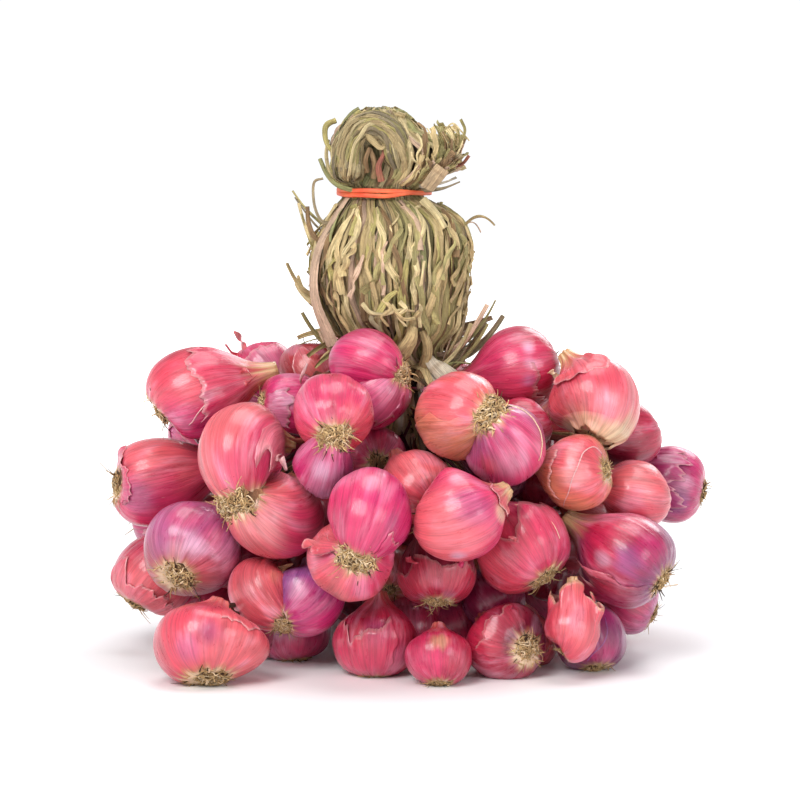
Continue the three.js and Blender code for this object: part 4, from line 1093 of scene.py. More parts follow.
# Small bulbs hidden in gaps between the others: across, up and depth as seen, and belly.
gapBulbs = [
    ([5, 27, -30], 11), ([-56, 51, -16], 11), ([60, 50, -20], 11), ([-22, 46, -34], 10), ([33, 30, -36], 11),
    ([-37, 44, -26], 11), ([-3, 40, -34], 10), ([20, 20, -30], 11), ([4, 11, -34], 11), ([-46, 15, -26], 11),
    ([40, 14, -28], 10), ([-3, 100, 4], 12), ([34, 76, -20], 11), ([-62, 92, 6], 11), ([68, 60, -22], 10),
]

hidden = {"length": 2.4, "tuft": 0.26, "roots": 0.4, "stalks": 2, "clear": 1.06, "shade": (0.66, 0.46, 0.52)}

# Shreds of torn skin: bulb and clove, where each starts as seen, which way it goes (right, back, up), its
# length and width, and its colour.
shreds = [
    (3, 0, (0.5, -0.3), (0.5, -0.5, 0.6), 9, 2.2, "pale"),
    (3, 0, (0.3, -0.5), (0.9, -0.4, -0.1), 10, 1.8, "rust"),
    (3, 0, (0.7, -0.1), (0.4, -0.3, 0.9), 8, 2.4, "salmon"),
    (3, 0, (0.1, -0.3), (-0.4, -0.6, 0.5), 8, 2.0, "pale"),
    (3, 0, (0.6, -0.5), (0.9, -0.5, 0.4), 12, 1.5, "tan"),
    (4, 0, (0.6, 0.6), (0.8, -0.3, 0.5), 8, 2.2, "salmon"),
    (4, 0, (0.4, 0.75), (0.2, -0.4, 0.8), 7, 1.6, "pale"),
    (2, 0, (-0.6, 0.75), (-0.3, -0.2, 0.9), 7, 4.0, "salmon"),
    (2, 0, (-0.75, 0.6), (-0.6, -0.2, 0.6), 6, 2.6, "coral"),
    (1, 0, (0.9, 0.25), (0.7, -0.2, 0.3), 5, 2.0, "salmon"),
    (1, 0, (0.86, 0.4), (0.9, -0.1, 0.1), 4, 1.6, "salmon"),
    (24, 0, (-0.2, 0.4), (-0.3, -0.7, 0.5), 7, 3.0, "crimson"),
    (23, 0, (-0.8, 0.5), (-0.8, -0.3, 0.6), 5, 2.4, "cream"),
    (12, 1, (0.7, 0.7), (0.5, -0.6, 0.4), 6, 3.0, "tan"),
    (29, 0, (0.75, -0.6), (0.7, -0.2, 0.2), 7, 3.6, "cream"),
    (27, 0, (-0.5, 0.75), (-0.3, -0.4, 0.7), 7, 3.0, "crimson"),
    (20, 0, (-0.6, 0.2), (-0.4, -0.6, 0.6), 6, 3.2, "coral"),
    (20, 0, (0.5, 0.25), (0.3, -0.7, 0.6), 6, 3.2, "rose"),
    (30, 0, (-0.25, 0.25), (-0.1, -0.8, 0.5), 4, 2.0, "salmon"),
    (7, 0, (0.8, -0.2), (0.6, -0.4, -0.6), 5, 2.6, "pale"),
]


def growShred(heap, form, spot, way, length, width, colour, rng):
    steps = 12
    share = np.linspace(0, 1, steps)[:, None]
    turn, u = form.seenAt(*spot)
    start = form.surface(turn, u)
    facing = form.outward(turn, u)
    way = unit(np.array(way, float))
    path = start - facing * 0.4 + (way + facing * 0.4) * length * share - facing * length * 0.3 * share**2
    path = path + rng.normal(0, 0.8, 3) * np.sin(share * 4)
    wide = width * (1 - 0.55 * share[:, 0] ** 2) * (1 + kinks(rng, 1, steps, 5, 0.14)[0])
    rolls = share[:, 0] * rng.uniform(-1.3, 1.3)
    curl = rng.uniform(-0.8, 0.8)
    points, faces = ribbons(path[None], facing + 0 * path[None], wide[None], 0.25, curl, rolls[None], 10)
    tint = np.broadcast_to(paint[colour], points.shape) * (1 - 0.2 * share[None, :, None])
    heap.add(points, faces, tint, np.broadcast_to(form.grown(turn, u), points.shape) + points * 0.08)


# The rows of a table that are meant for one clove.
def rowsFor(table, number, which):
    return [row[2:] for row in table if row[:2] == (number, which)]


# A bulb's cloves in the place of its node's box, and the way its root plate faces.
def placeCloves(name, number, row, front):
    if front:
        point, scale = placeSeen(row["at"])
        out = facingOf(row["root"])
    else:
        point, scale = np.array(row["at"], float), 1.0
        out = unit(point - mound["heart"])
    twin = row.get("twin")
    if twin:
        twin = [twin[0] * scale, twin[1], twin[2]]
    size = (row["belly"] * scale, row["length"])
    inward = unit(mound["gather"] - point)
    lobes = growCloves(*size, twin, out, inward)
    low, high = plainBox(lobes, clove["frontSides" if front else "backSides"], row.get("wide", 1))
    nodeLow, nodeHigh = (np.array(corner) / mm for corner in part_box(name))
    place = (nodeLow + nodeHigh) / 2 - (low + high) / 2
    place[2] = nodeHigh[2] - high[2]
    if number in rootLook:
        out = facingOf(rootLook[number])
    if number in twinLook:
        larger, turned, wider = twinLook[number]
        twin = [twin[0] * larger, twin[1] + turned, twin[2] * wider]
    lobes = growCloves(*size, twin, out, inward)
    for lobe in lobes:
        moveLobe(lobe, place)
        lobe["tip"] = lobe["belly"] + (lobe["tip"] - lobe["belly"]) * bluntNecks.get(number, 1)
    return lobes, out


# What lies on a clove of a front bulb.
def dressClove(heap, form, look, number, which, rng):
    for at, size, lift, colour in rowsFor(tornOn, number, which):
        tornSkin(heap, form, at, size, lift, look, colour, rng)
    for row in rowsFor(layersOn, number, which):
        skinLayer(heap, form, look, dict(zip(layerKeys, row)), rng)
    for row in rowsFor(seamsOn, number, which):
        skinSeam(heap, form, *row)
    for row in rowsFor(shreds, number, which):
        growShred(heap, form, *row, rng)


# One or two outer layers on a clove of a bulb round the back: one from its root and one from its neck, each
# with where it starts and between which shares it ends.
backLayers = {
    "spans": ((0.13, (0.3, 0.6)), (0.95, (0.45, 0.75))), "half": (0.8, 2.0), "lift": (0.2, 1.0),
    "ragged": 0.2, "much": 0.4,
}


def coverClove(heap, form, look, rng):
    spans = [(start, rng.uniform(*ends)) for start, ends in backLayers["spans"]]
    for start, end in spans[: rng.integers(1, 3)]:
        skinLayer(heap, form, look, {
            "at": tuple(rng.uniform(-0.6, 0.6, 2)), "half": rng.uniform(*backLayers["half"]), "from": start,
            "to": end, "lift": rng.uniform(*backLayers["lift"]), "ragged": backLayers["ragged"],
            "lean": look[1], "much": backLayers["much"],
        }, rng)


def makeBulb(number, row, front):
    rng = np.random.default_rng(1000 + number)
    name = f"shallot_{number:02d}"
    lobes, out = placeCloves(name, number, row, front)
    tuft = tuftSizes.get(number, rootTuft["plate"])
    forms = [Clove(lobe, row.get("wide", 1), tuft, rng) for lobe in lobes]
    skin, dry, torn = Heap(), Heap(), Heap()
    for which, form in enumerate(forms):
        form.dryNeck = dampness if number in dampNecks else 1.0
        if front:
            look = frontLooks[number - 1][which]
        else:
            look = (*backKinds[rng.integers(0, len(backKinds))], tuple(rng.uniform(-0.6, 0.6, 2)), [])
        skin.add(*cloveSkin(form, cloveForm["front" if front else "back"], look))
        if number not in stalkless:
            neckLeaves(dry, form, stalk["front" if front else "back"], rng, number in lowStalks)
        if front:
            dressClove(torn, form, look, number, which, rng)
        else:
            coverClove(torn, form, look, rng)
    size = max(form.radius for form in forms)
    growRoots(dry, forms[0].lobe["root"], out, size, tuft, 1.0 if front else rootTuft["back"], forms, rng)
    for heap in (skin, dry, torn):
        heap.change(keepAbove)
    skin.make(f"skin_{number:02d}", skins, slotOf(number, front), [name])
    if torn.count:
        torn.make(f"torn_skin_{number:02d}", skins, slotOf(number, front))
    dry.make(f"roots_{number:02d}", rootHair, "dried_leaf")


# Bulbs that stand are pressed flat by the ground.
def keepAbove(points):
    points = points.copy()
    points[:, 2] = np.maximum(points[:, 2], 0.0)
    return points


def slotOf(number, front):
    if not front:
        return "pink_skin"
    first = frontLooks[number - 1][0][0]
    if first in ("salmon", "orange", "coral", "brick"):
        return "salmon_skin"
    return "plum_skin" if first in ("plum", "violet", "mauve", "wine") else "pink_skin"


# Bulbs hidden behind the front ones, their skins darkened as painted shade.
def makeGapBulbs():
    skin, dry = Heap(), Heap()
    for number, (at, belly) in enumerate(gapBulbs):
        rng = np.random.default_rng(3000 + number)
        point, _ = placeSeen(at)
        out = unit(point - mound["heart"])
        point = point + np.array([*shift, 0])
        point[2] = max(point[2], hidden["clear"] * belly)
        lobe = growCloves(belly, hidden["length"], None, out, unit(mound["gather"] - point))[0]
        moveLobe(lobe, point)
        form = Clove(lobe, 1, hidden["tuft"], rng)
        look = (*backKinds[number % len(backKinds)], (0.2, 0.3), [])
        points, faces, tint, grown = cloveSkin(form, cloveForm["back"], look)
        # Painted shade: the hidden bulbs' skins are darkened.
        skin.add(points, faces, tint * np.array(hidden["shade"]), grown)
        neckLeaves(dry, form, hidden["stalks"], rng, False)
        growRoots(dry, lobe["root"], out, form.radius, hidden["tuft"], hidden["roots"], [form], rng)
    for heap in (skin, dry):
        heap.change(keepAbove)
    skin.make("hidden_bulbs", skins, "inner_bulbs")
    dry.make("hidden_roots", rootHair, "dried_leaf")


for number, row in enumerate(frontBulbs):
    makeBulb(number + 1, row, True)
makeGapBulbs()
print(f"front bulbs {time.time() - started:.1f} s")
for number, row in enumerate(backBulbs):
    makeBulb(len(frontBulbs) + number + 1, row, False)
print(f"back bulbs {time.time() - started:.1f} s")


# The sheaf of dried leaves

# Its outside: height, how far its middle stands to the right, and radius. It narrows to the waist under the
# rubber band.
sheafRings = np.array([
    [92, 3, 10], [98, 1, 13], [104.6, -2, 16.6], [111.6, -1.5, 22], [122, -3, 26], [132.6, -3.5, 28],
    [143, -3, 27.3], [150.5, -2.6, 23.5], [155.2, -4.4, 18.2], [157.4, -5.5, 14.7], [162.2, -5.5, 14.7],
    [165.4, -3.6, 19], [170.6, -2.2, 22], [176.6, -2, 22], [182.6, -3, 18.5], [187.2, -5, 11.5],
    [189.6, -6, 5],
])
waist = {"z": 159.8, "right": -5.5, "radius": 14.7, "reach": 7.0}

# Leaf ends that stand away from the sheaf: the angle round it (0 right, -90 front), the height they leave it
# at, how far out and up they end, how much they arch, their width, and how far they are turned on edge.
blades = [
    (186, 108, 13, 10, -3, 4, 50), (172, 107, 16, 1, 3, 3.6, -30), (196, 104, 15, -1, 4, 4, 40),
    (180, 126, 9, 9, -3, 4.4, 60), (192, 138, 4, 18, 0, 2.2, 50), (168, 146, 9, 14, 2, 2.2, 40),
    (-8, 104, 22, 13, -4, 4, 60), (4, 110, 14, 12, -4, 4.6, 50), (-22, 104, 17, 17, -3, 4.2, -40),
    (18, 106, 19, 9, 3, 4, 60), (-34, 101, 15, 14, -3, 3.6, 30), (0, 144, 9, 4, 6, 1.8, 40),
    (-62, 99, 9, -5, 2, 9, 10), (60, 104, 15, 8, 3, 4, 20), (95, 106, 16, 5, 4, 4.4, -20),
    (132, 106, 13, 10, 2, 4, 30), (-30, 168, 6, 5, 1, 4.5, 50), (-12, 170, 3, 8, 1, 3.6, 60),
    (14, 171, 3, 8, 1, 3.6, -50),
]
blades = [dict(zip(("angle", "from", "out", "up", "arch", "width", "turn"), row)) for row in blades]

# deep is painted shade: the dark of the sheaf's inside.
leafTones = {
    "tan": (196, 172, 124), "olive": (168, 156, 104), "green": (150, 148, 98), "straw": (212, 192, 144),
    "grey": (152, 136, 106), "beige": (204, 172, 146), "brown": (132, 104, 72), "deep": (40, 28, 18),
    "red": (156, 94, 76), "square": (200, 172, 134), "ash": (206, 194, 172), "lemon": (184, 170, 106),
}
leafTones = {name: linear(colour) for name, colour in leafTones.items()}
sheafMix = (
    "tan", "olive", "straw", "tan", "olive", "green", "straw", "grey", "beige", "tan", "lemon", "olive",
    "brown",
)

# The strips of the sheaf's side in three layers: how many, how deep they lie under its outside, their widths
# and how dark they are painted, the deeper layers darker as painted shade. The outermost lie loosely.
sheafLayers = [
    {"count": 60, "deep": 2.9, "width": (3.0, 4.6), "shade": 0.36, "loose": 0.3},
    {"count": 104, "deep": 1.7, "width": (1.4, 3.0), "shade": 0.62, "loose": 0.6},
    {"count": 128, "deep": 0.55, "width": (0.9, 2.9), "shade": 0.88, "loose": 1.0},
]
sheafStrips = {"steps": 38, "thick": 0.36, "low": (93, 101), "high": (160.5, 162.5), "foot": (4.8, -2.5)}
sheafTop = 189.0

# A hollow between the leaves, low on the sheaf's front, dark with shade and with the inside painted dark as
# shade.
cavity = {"angle": -106, "wide": 15, "top": 112, "deep": 5.0}


def sheafOutside(z):
    return [curveThrough(sheafRings[:, 0], sheafRings[:, column], z) for column in (1, 2)]


# The dome of the knot falls away on its right, where the leaf ends stand.
def shoulder(angle, z):
    return 1 - 0.5 * smooth(175, 181.5, z) * smooth(0.1, 0.75, np.cos(angle + 0.25))


def nearWaist(z):
    return np.exp(-(((z - waist["z"]) / waist["reach"]) ** 2))


# How far an angle is from the middle of a hollow, as a share of its breadth. Both of these are in degrees.
def awayFrom(angle, middle, wide):
    return np.angle(np.exp(1j * (angle - np.radians(middle)))) / np.radians(wide)


# How deep the knot is pressed in at its front.
def knotDent(angle, z):
    away = awayFrom(angle, knot["dentAngle"], knot["dentWide"])
    return knot["dent"] * np.exp(-(away**2)) * smooth(160, 168, z) * smooth(189, 180, z)


# Slow waves along strips, each with its own.
def ripples(rng, count, share, waves):
    return sum(
        rng.uniform(0.2, 1, (count, 1)) * size
        * np.sin(rate * share * 2 * np.pi + rng.uniform(0, 6.28, (count, 1)))
        for rate, size in waves
    )


# Points on the sheaf's side. Its foot leans forward and to the right.
def sheafPoints(angle, reach, right, z):
    foot = smooth(108, 92, z)
    return np.stack([
        right + reach * np.cos(angle) + foot * sheafStrips["foot"][0],
        reach * np.sin(angle) + foot * sheafStrips["foot"][1],
        z + 0 * angle,
    ], axis=-1)


# The way out from the sheaf's middle.
def outAt(angle, rise=0.0):
    return np.stack([np.cos(angle), np.sin(angle), rise + 0 * angle], axis=-1)


# Puts ribbons into a heap with a tone each, uneven along their length and darkened by the painted shade
# given, which is darker where they lie deep.
def addLeaves(heap, path, facing, width, thick, rng, tones, shade, curl, roll, sides=8):
    count, steps = path.shape[:2]
    points, faces = ribbons(path, facing, width, thick, curl, roll, sides)
    names = tones
    if len(tones) != count:
        names = [tones[index] for index in rng.integers(0, len(tones), count)]
    chosen = np.array([leafTones[name] for name in names]) * rng.uniform(0.82, 1.12, (count, 1))
    along = np.linspace(0, 1, steps)[None]
    change = sum(
        np.cos(rate * along * 2 * np.pi + rng.uniform(0, 2 * np.pi, (count, 1))) * size
        for rate, size in ((0.8, 0.5), (1.7, 0.35), (4.3, 0.25))
    )
    tint = chosen[:, None] * (1 + 0.16 * change[..., None])
    tint = blendTo(tint, leafTones["brown"], 0.5 * smooth(0.5, 1.1, change))
    tint = tint * np.broadcast_to(np.asarray(shade, float), (count, steps))[..., None]
    tint = np.broadcast_to(tint[:, :, None], points.shape)
    heap.add(points, faces, tint, ribbonGrown(rng, points, path, width))


def addSheafSide(inner, outer, rng):
    steps = sheafStrips["steps"]
    for layer in sheafLayers:
        count = layer["count"]
        low = rng.uniform(*sheafStrips["low"], (count, 1))
        high = rng.uniform(*sheafStrips["high"], (count, 1))
        z = low + (high - low) * np.linspace(0, 1, steps)[None]
        right, radius = sheafOutside(z)
        angle = 2 * np.pi * (np.arange(count)[:, None] + rng.uniform(-0.35, 0.35, (count, 1))) / count
        share = np.linspace(0, 1, steps)[None]
        stray = sum(
            rng.normal(0, size, (count, 1)) * np.sin(rate * np.pi * share + rng.uniform(0, 6.28, (count, 1)))
            for rate, size in ((1, 0.07), (2.3, 0.03), (5, 0.010))
        )
        angle = angle + stray * (1 - 0.6 * nearWaist(z))
        loose = layer["loose"] * (1 - nearWaist(z))
        ripple = ripples(rng, count, share, ((1.4, 0.5), (3.7, 0.2), (8.0, 0.10)))
        creased = 1 - 0.8 * nearWaist(z)
        angle = angle + kinks(rng, count, steps, 12, 0.012) * creased
        reach = radius - layer["deep"] * (1 - 0.55 * nearWaist(z)) - 0.25 + loose * (ripple - 0.35)
        reach = reach + kinks(rng, count, steps, 16, 0.32) * creased
        away = awayFrom(angle, cavity["angle"], cavity["wide"])
        reach = reach - cavity["deep"] * np.exp(-(away**2)) * smooth(cavity["top"] + 5, cavity["top"], z)
        path = sheafPoints(angle, reach, right, z)
        width = rng.uniform(*layer["width"], (count, 1)) * (0.36 + 0.64 * radius / 28)
        width = width * (1 - 0.12 * nearWaist(z)) * (1 + kinks(rng, count, steps, 10, 0.12))
        roll = 0.3 * ripple * (1 - nearWaist(z)) + kinks(rng, count, steps, 9, 0.34)
        curl = rng.uniform(-0.5, 1.1, (count, 1)) + kinks(rng, count, steps, 8, 0.3)
        # Painted shade: darker for deeper layers, towards the foot among the bulbs and at the waist under the
        # band.
        shade = layer["shade"] * (1 - 0.3 * smooth(106, 95, z)) * (1 - 0.25 * nearWaist(z))
        heap = outer if layer is sheafLayers[-1] else inner
        addLeaves(heap, path, outAt(angle), width, sheafStrips["thick"], rng, sheafMix, shade, curl, roll)


# Short pieces of leaf that lie loosely over the sheaf, aslant, with their ends showing.
scraps = {
    "count": 120, "length": (9, 34), "from": (100, 146), "width": (0.8, 3.0), "slant": 0.22, "steps": 20,
}


def addScraps(heap, rng):
    count, steps = scraps["count"], scraps["steps"]
    share = np.linspace(0, 1, steps)[None]
    low = rng.uniform(*scraps["from"], (count, 1))
    z = np.minimum(low + rng.uniform(*scraps["length"], (count, 1)) * share, 155)
    right, radius = sheafOutside(z)
    angle = rng.uniform(0, 2 * np.pi, (count, 1)) + rng.normal(0, scraps["slant"], (count, 1)) * (share - 0.5)
    angle = angle + kinks(rng, count, steps, 5, 0.03)
    ends = np.abs(2 * share - 1) ** 4
    reach = radius + 0.25 + kinks(rng, count, steps, 7, 0.35) + ends * rng.uniform(-1.6, 1.2, (count, 1))
    path = sheafPoints(angle, reach, right, z)
    width = rng.uniform(*scraps["width"], (count, 1)) * (1 + kinks(rng, count, steps, 6, 0.2))
    width = width * (1 - 0.5 * share**4)
    roll = kinks(rng, count, steps, 6, 0.45)
    curl = rng.uniform(-0.8, 1.2, (count, 1)) + kinks(rng, count, steps, 6, 0.4)
    addLeaves(heap, path, outAt(angle), width, 0.34, rng, sheafMix, 1.0, curl, roll)


# The knot above the band: leaves that rise over its back and right side to a rounded top, in two layers by
# how deep they lie, how bright (the deeper one darker, as painted shade) and how many there are.
knot = {
    "layers": ((2.2, 0.48, 80), (0.5, 0.86, 96)), "steps": 30, "dent": 7.5, "dentAngle": -112,
    "dentWide": 34, "width": (1.4, 2.9), "base": 157.5, "high": (186.0, 189.0), "arcs": 112, "arcSteps": 34,
    "arcMiddle": (-9.2, -12.5, 171.5), "arcOut": 8.6, "arcHigh": 11.3, "tube": (4.9, 6.6),
    "arcWidth": (0.9, 2.0), "arcTones": ("tan", "straw", "olive", "grey", "straw", "tan", "lemon"),
}


def addKnotDome(heap, rng):
    for deep, shade, count in knot["layers"]:
        steps = knot["steps"]
        angle = 2 * np.pi * (np.arange(count)[:, None] + rng.uniform(-0.4, 0.4, (count, 1))) / count
        top = rng.uniform(*knot["high"], (count, 1))
        z = knot["base"] + (top - knot["base"]) * np.linspace(0, 1, steps)[None] ** 0.9
        right, radius = sheafOutside(z)
        share = np.linspace(0, 1, steps)[None]
        ripple = ripples(rng, count, share, ((1.1, 0.6), (2.7, 0.35), (6.0, 0.15)))
        angle = angle + rng.normal(0, 0.12, (count, 1)) * share + 0.05 * ripple * (1 - nearWaist(z))
        dent = knotDent(angle, z)
        reach = radius * shoulder(angle, z) - deep - 0.3 - dent + 0.6 * ripple * (1 - nearWaist(z))
        high = np.minimum(z + 0.4 * ripple, sheafTop - 0.1)
        path = np.stack([right + reach * np.cos(angle), reach * np.sin(angle), high], axis=-1)
        facing = outAt(angle, 0.6 * smooth(176, 188, z))
        path = path + facing * kinks(rng, count, steps, 9, 0.3)[..., None]
        path[..., 2] = np.minimum(path[..., 2], sheafTop)
        width = rng.uniform(*knot["width"], (count, 1)) * (0.4 + 0.6 * radius / 22)
        width = width * (1 + kinks(rng, count, steps, 7, 0.14))
        # Painted shade: darker where the front of the knot is pressed in.
        dark = shade * (1 - 0.35 * dent / knot["dent"])
        curl = rng.uniform(-0.4, 1.0, (count, 1))
        roll = 0.3 * ripple + kinks(rng, count, steps, 8, 0.4)
        addLeaves(heap, path, facing, width, 0.5, rng, sheafMix, dark, curl, roll)


# Leaves that lie across the top of the knot.
knotCap = {
    "count": 34, "centre": (-6.5, 0.5), "high": 189.2, "half": (6, 11), "aside": 6.5, "width": (1.2, 2.8),
}


def addKnotCap(heap, rng):
    count, steps = knotCap["count"], 22
    share = np.linspace(-1, 1, steps)[None]
    turn = rng.uniform(0, np.pi, (count, 1)) + kinks(rng, count, steps, 5, 0.08)
    half = rng.uniform(*knotCap["half"], (count, 1))
    aside = rng.uniform(-1, 1, (count, 1)) * knotCap["aside"] * (1 - 0.3 * share**2)
    x = half * share * np.cos(turn) - aside * np.sin(turn)
    y = half * share * np.sin(turn) + aside * np.cos(turn)
    fall = 0.028 * (x**2 + y**2) + kinks(rng, count, steps, 6, 0.25)
    z = np.minimum(knotCap["high"] - rng.uniform(0.2, 1.4, (count, 1)) - fall, sheafTop)
    path = np.stack([x + knotCap["centre"][0], y + knotCap["centre"][1], z], axis=-1)
    facing = unit(np.stack([0.06 * x, 0.06 * y, 1 + 0 * x], axis=-1))
    width = rng.uniform(*knotCap["width"], (count, 1)) * (1 + kinks(rng, count, steps, 6, 0.15))
    curl = rng.uniform(-0.5, 0.9, (count, 1))
    roll = kinks(rng, count, steps, 6, 0.4)
    addLeaves(heap, path, facing, width, 0.36, rng, sheafMix, 0.85, curl, roll)


# The fold at the front of the knot: thin leaves in close arcs, from the band at the left over the top and
# down again to the band, round a hollow; the arcs nearest it and those beneath are painted darker as painted
# shade.
def addKnotFold(heap, rng):
    count = knot["arcs"]
    place = np.linspace(-10, 196, count) + rng.uniform(-2, 2, count)
    place = np.concatenate([place, rng.uniform(0, 185, count // 3)])
    deep = np.concatenate([np.zeros(count), np.full(count // 3, 1.0)])
    count = len(place)
    out = np.cos(np.radians(place)) * (knot["tube"][0] - deep)
    front = np.sin(np.radians(place)) * (knot["tube"][1] - deep)
    x, y, z = knot["arcMiddle"]
    wide, high = knot["arcOut"] + out, knot["arcHigh"] + out * 0.95
    jitter = rng.normal(0, 0.6, (count, 10, 3))
    leftFoot = np.radians(62) - 0.055 * (wide - knot["arcOut"])
    rightFoot = np.radians(-26) + 0.03 * (wide - knot["arcOut"])
    inside = waist["radius"] - 0.5 - 0.25 * np.maximum(0, 4 - front)
    left = (waist["right"] - inside * np.sin(leftFoot), -inside * np.cos(leftFoot))
    right = (waist["right"] - inside * np.sin(rightFoot), -inside * np.cos(rightFoot))
    arc = ((-0.93, 0.30), (-0.60, 0.80), (0, 1), (0.66, 0.74), (0.96, 0.10))
    controls = np.stack([
        np.stack(np.broadcast_arrays(*point), -1) for point in (
            (*left, 157.0), (*left, 162.3), (x - wide, y - front * 0.8, 167.0),
            *((x + wide * across, y - front, z + high * rise) for across, rise in arc),
            (*right, 162.5), (*right, 157.0),
        )
    ], axis=1)
    jitter[:, :2] *= 0.2
    jitter[:, -2:] *= 0.2
    controls = controls + jitter
    path = throughControls(controls, knot["arcSteps"])
    path[..., 2] = np.minimum(path[..., 2], sheafTop - 0.2)
    ring = np.array(knot["arcMiddle"]) + np.stack([
        (path[..., 0] - x) * (knot["arcOut"] / np.maximum(wide, 2))[:, None],
        0 * path[..., 1],
        (path[..., 2] - z) * (knot["arcHigh"] / np.maximum(high, 2))[:, None],
    ], -1)
    facing = unit(path - ring + np.array([0, -0.05, 0]))
    width = rng.uniform(*knot["arcWidth"], (count, 1)) * (1 + kinks(rng, count, knot["arcSteps"], 9, 0.15))
    # Painted shade: the arcs of the layer beneath and the arcs nearest the hollow are darker.
    shade = (np.where(deep > 0, 0.42, 0.68) * (0.72 + 0.28 * smooth(2.5, 8, wide)))[:, None]
    curl = rng.uniform(-0.3, 1.0, (count, 1))
    roll = kinks(rng, count, knot["arcSteps"], 8, 0.35)
    addLeaves(heap, path, facing, width, 0.4, rng, knot["arcTones"], shade, curl, roll, 6)


# Smooth paths through each row of control points.
def throughControls(controls, steps):
    count = controls.shape[1]
    at = np.linspace(0, count - 1, steps)
    ways = ([curveThrough(np.arange(count), row[:, axis], at) for axis in range(3)] for row in controls)
    return np.stack([np.stack(way, axis=-1) for way in ways])


def addBlades(heap, rng):
    paths, facings, widths, rolls = [], [], [], []
    steps = 26
    share = np.linspace(0, 1, steps)
    for row in blades:
        copies = 3 if row["width"] > 3 else 2
        for copy in range(copies):
            angle = np.radians(row["angle"] + (rng.normal(0, 7) if copy else 0))
            right, radius = sheafOutside(np.array([float(row["from"])]))
            outward = np.array([np.cos(angle), np.sin(angle), 0])
            side = np.array([-outward[1], outward[0], 0])
            start = np.array([right[0], 0, row["from"] - (2 * copy)]) + outward * (radius[0] - 4)
            reach = row["out"] * (1 if copy == 0 else rng.uniform(0.45, 0.95))
            rise = row["up"] * (1 if copy == 0 else rng.uniform(0.4, 1.0))
            lifted = rise * share**2 + row["arch"] * 4 * share * (1 - share)
            path = start + outward * ((reach + 4) * share)[:, None] + up * lifted[:, None]
            sway = rng.normal(0, 1.6) * share**2 + 0.5 * np.sin(share * 9 + rng.uniform(0, 6))
            path = path + side * sway[:, None]
            paths.append(path)
            way = unit(np.gradient(path, axis=0))
            facings.append(np.cross(way, side))
            narrow = 1 if copy == 0 else 0.6
            uneven = 1 + 0.1 * np.sin(share * 14 + copy)
            widths.append(row["width"] * narrow * (1 - 0.62 * share**1.5) * uneven)
            rolls.append(np.radians(row["turn"]) + share * rng.uniform(-1.6, 1.6))
    paths = np.array(paths)
    paths[..., 2] = np.minimum(paths[..., 2], sheafTop)
    facings, widths, rolls = np.array(facings), np.array(widths), np.array(rolls)
    curl = rng.uniform(-1.1, 1.1, (len(paths), 1)) * (0.5 + share)
    tones = ("tan", "straw", "grey", "beige", "brown", "olive")
    addLeaves(heap, paths, facings, widths, 0.42, rng, tones, 0.95, curl, rolls, 10)


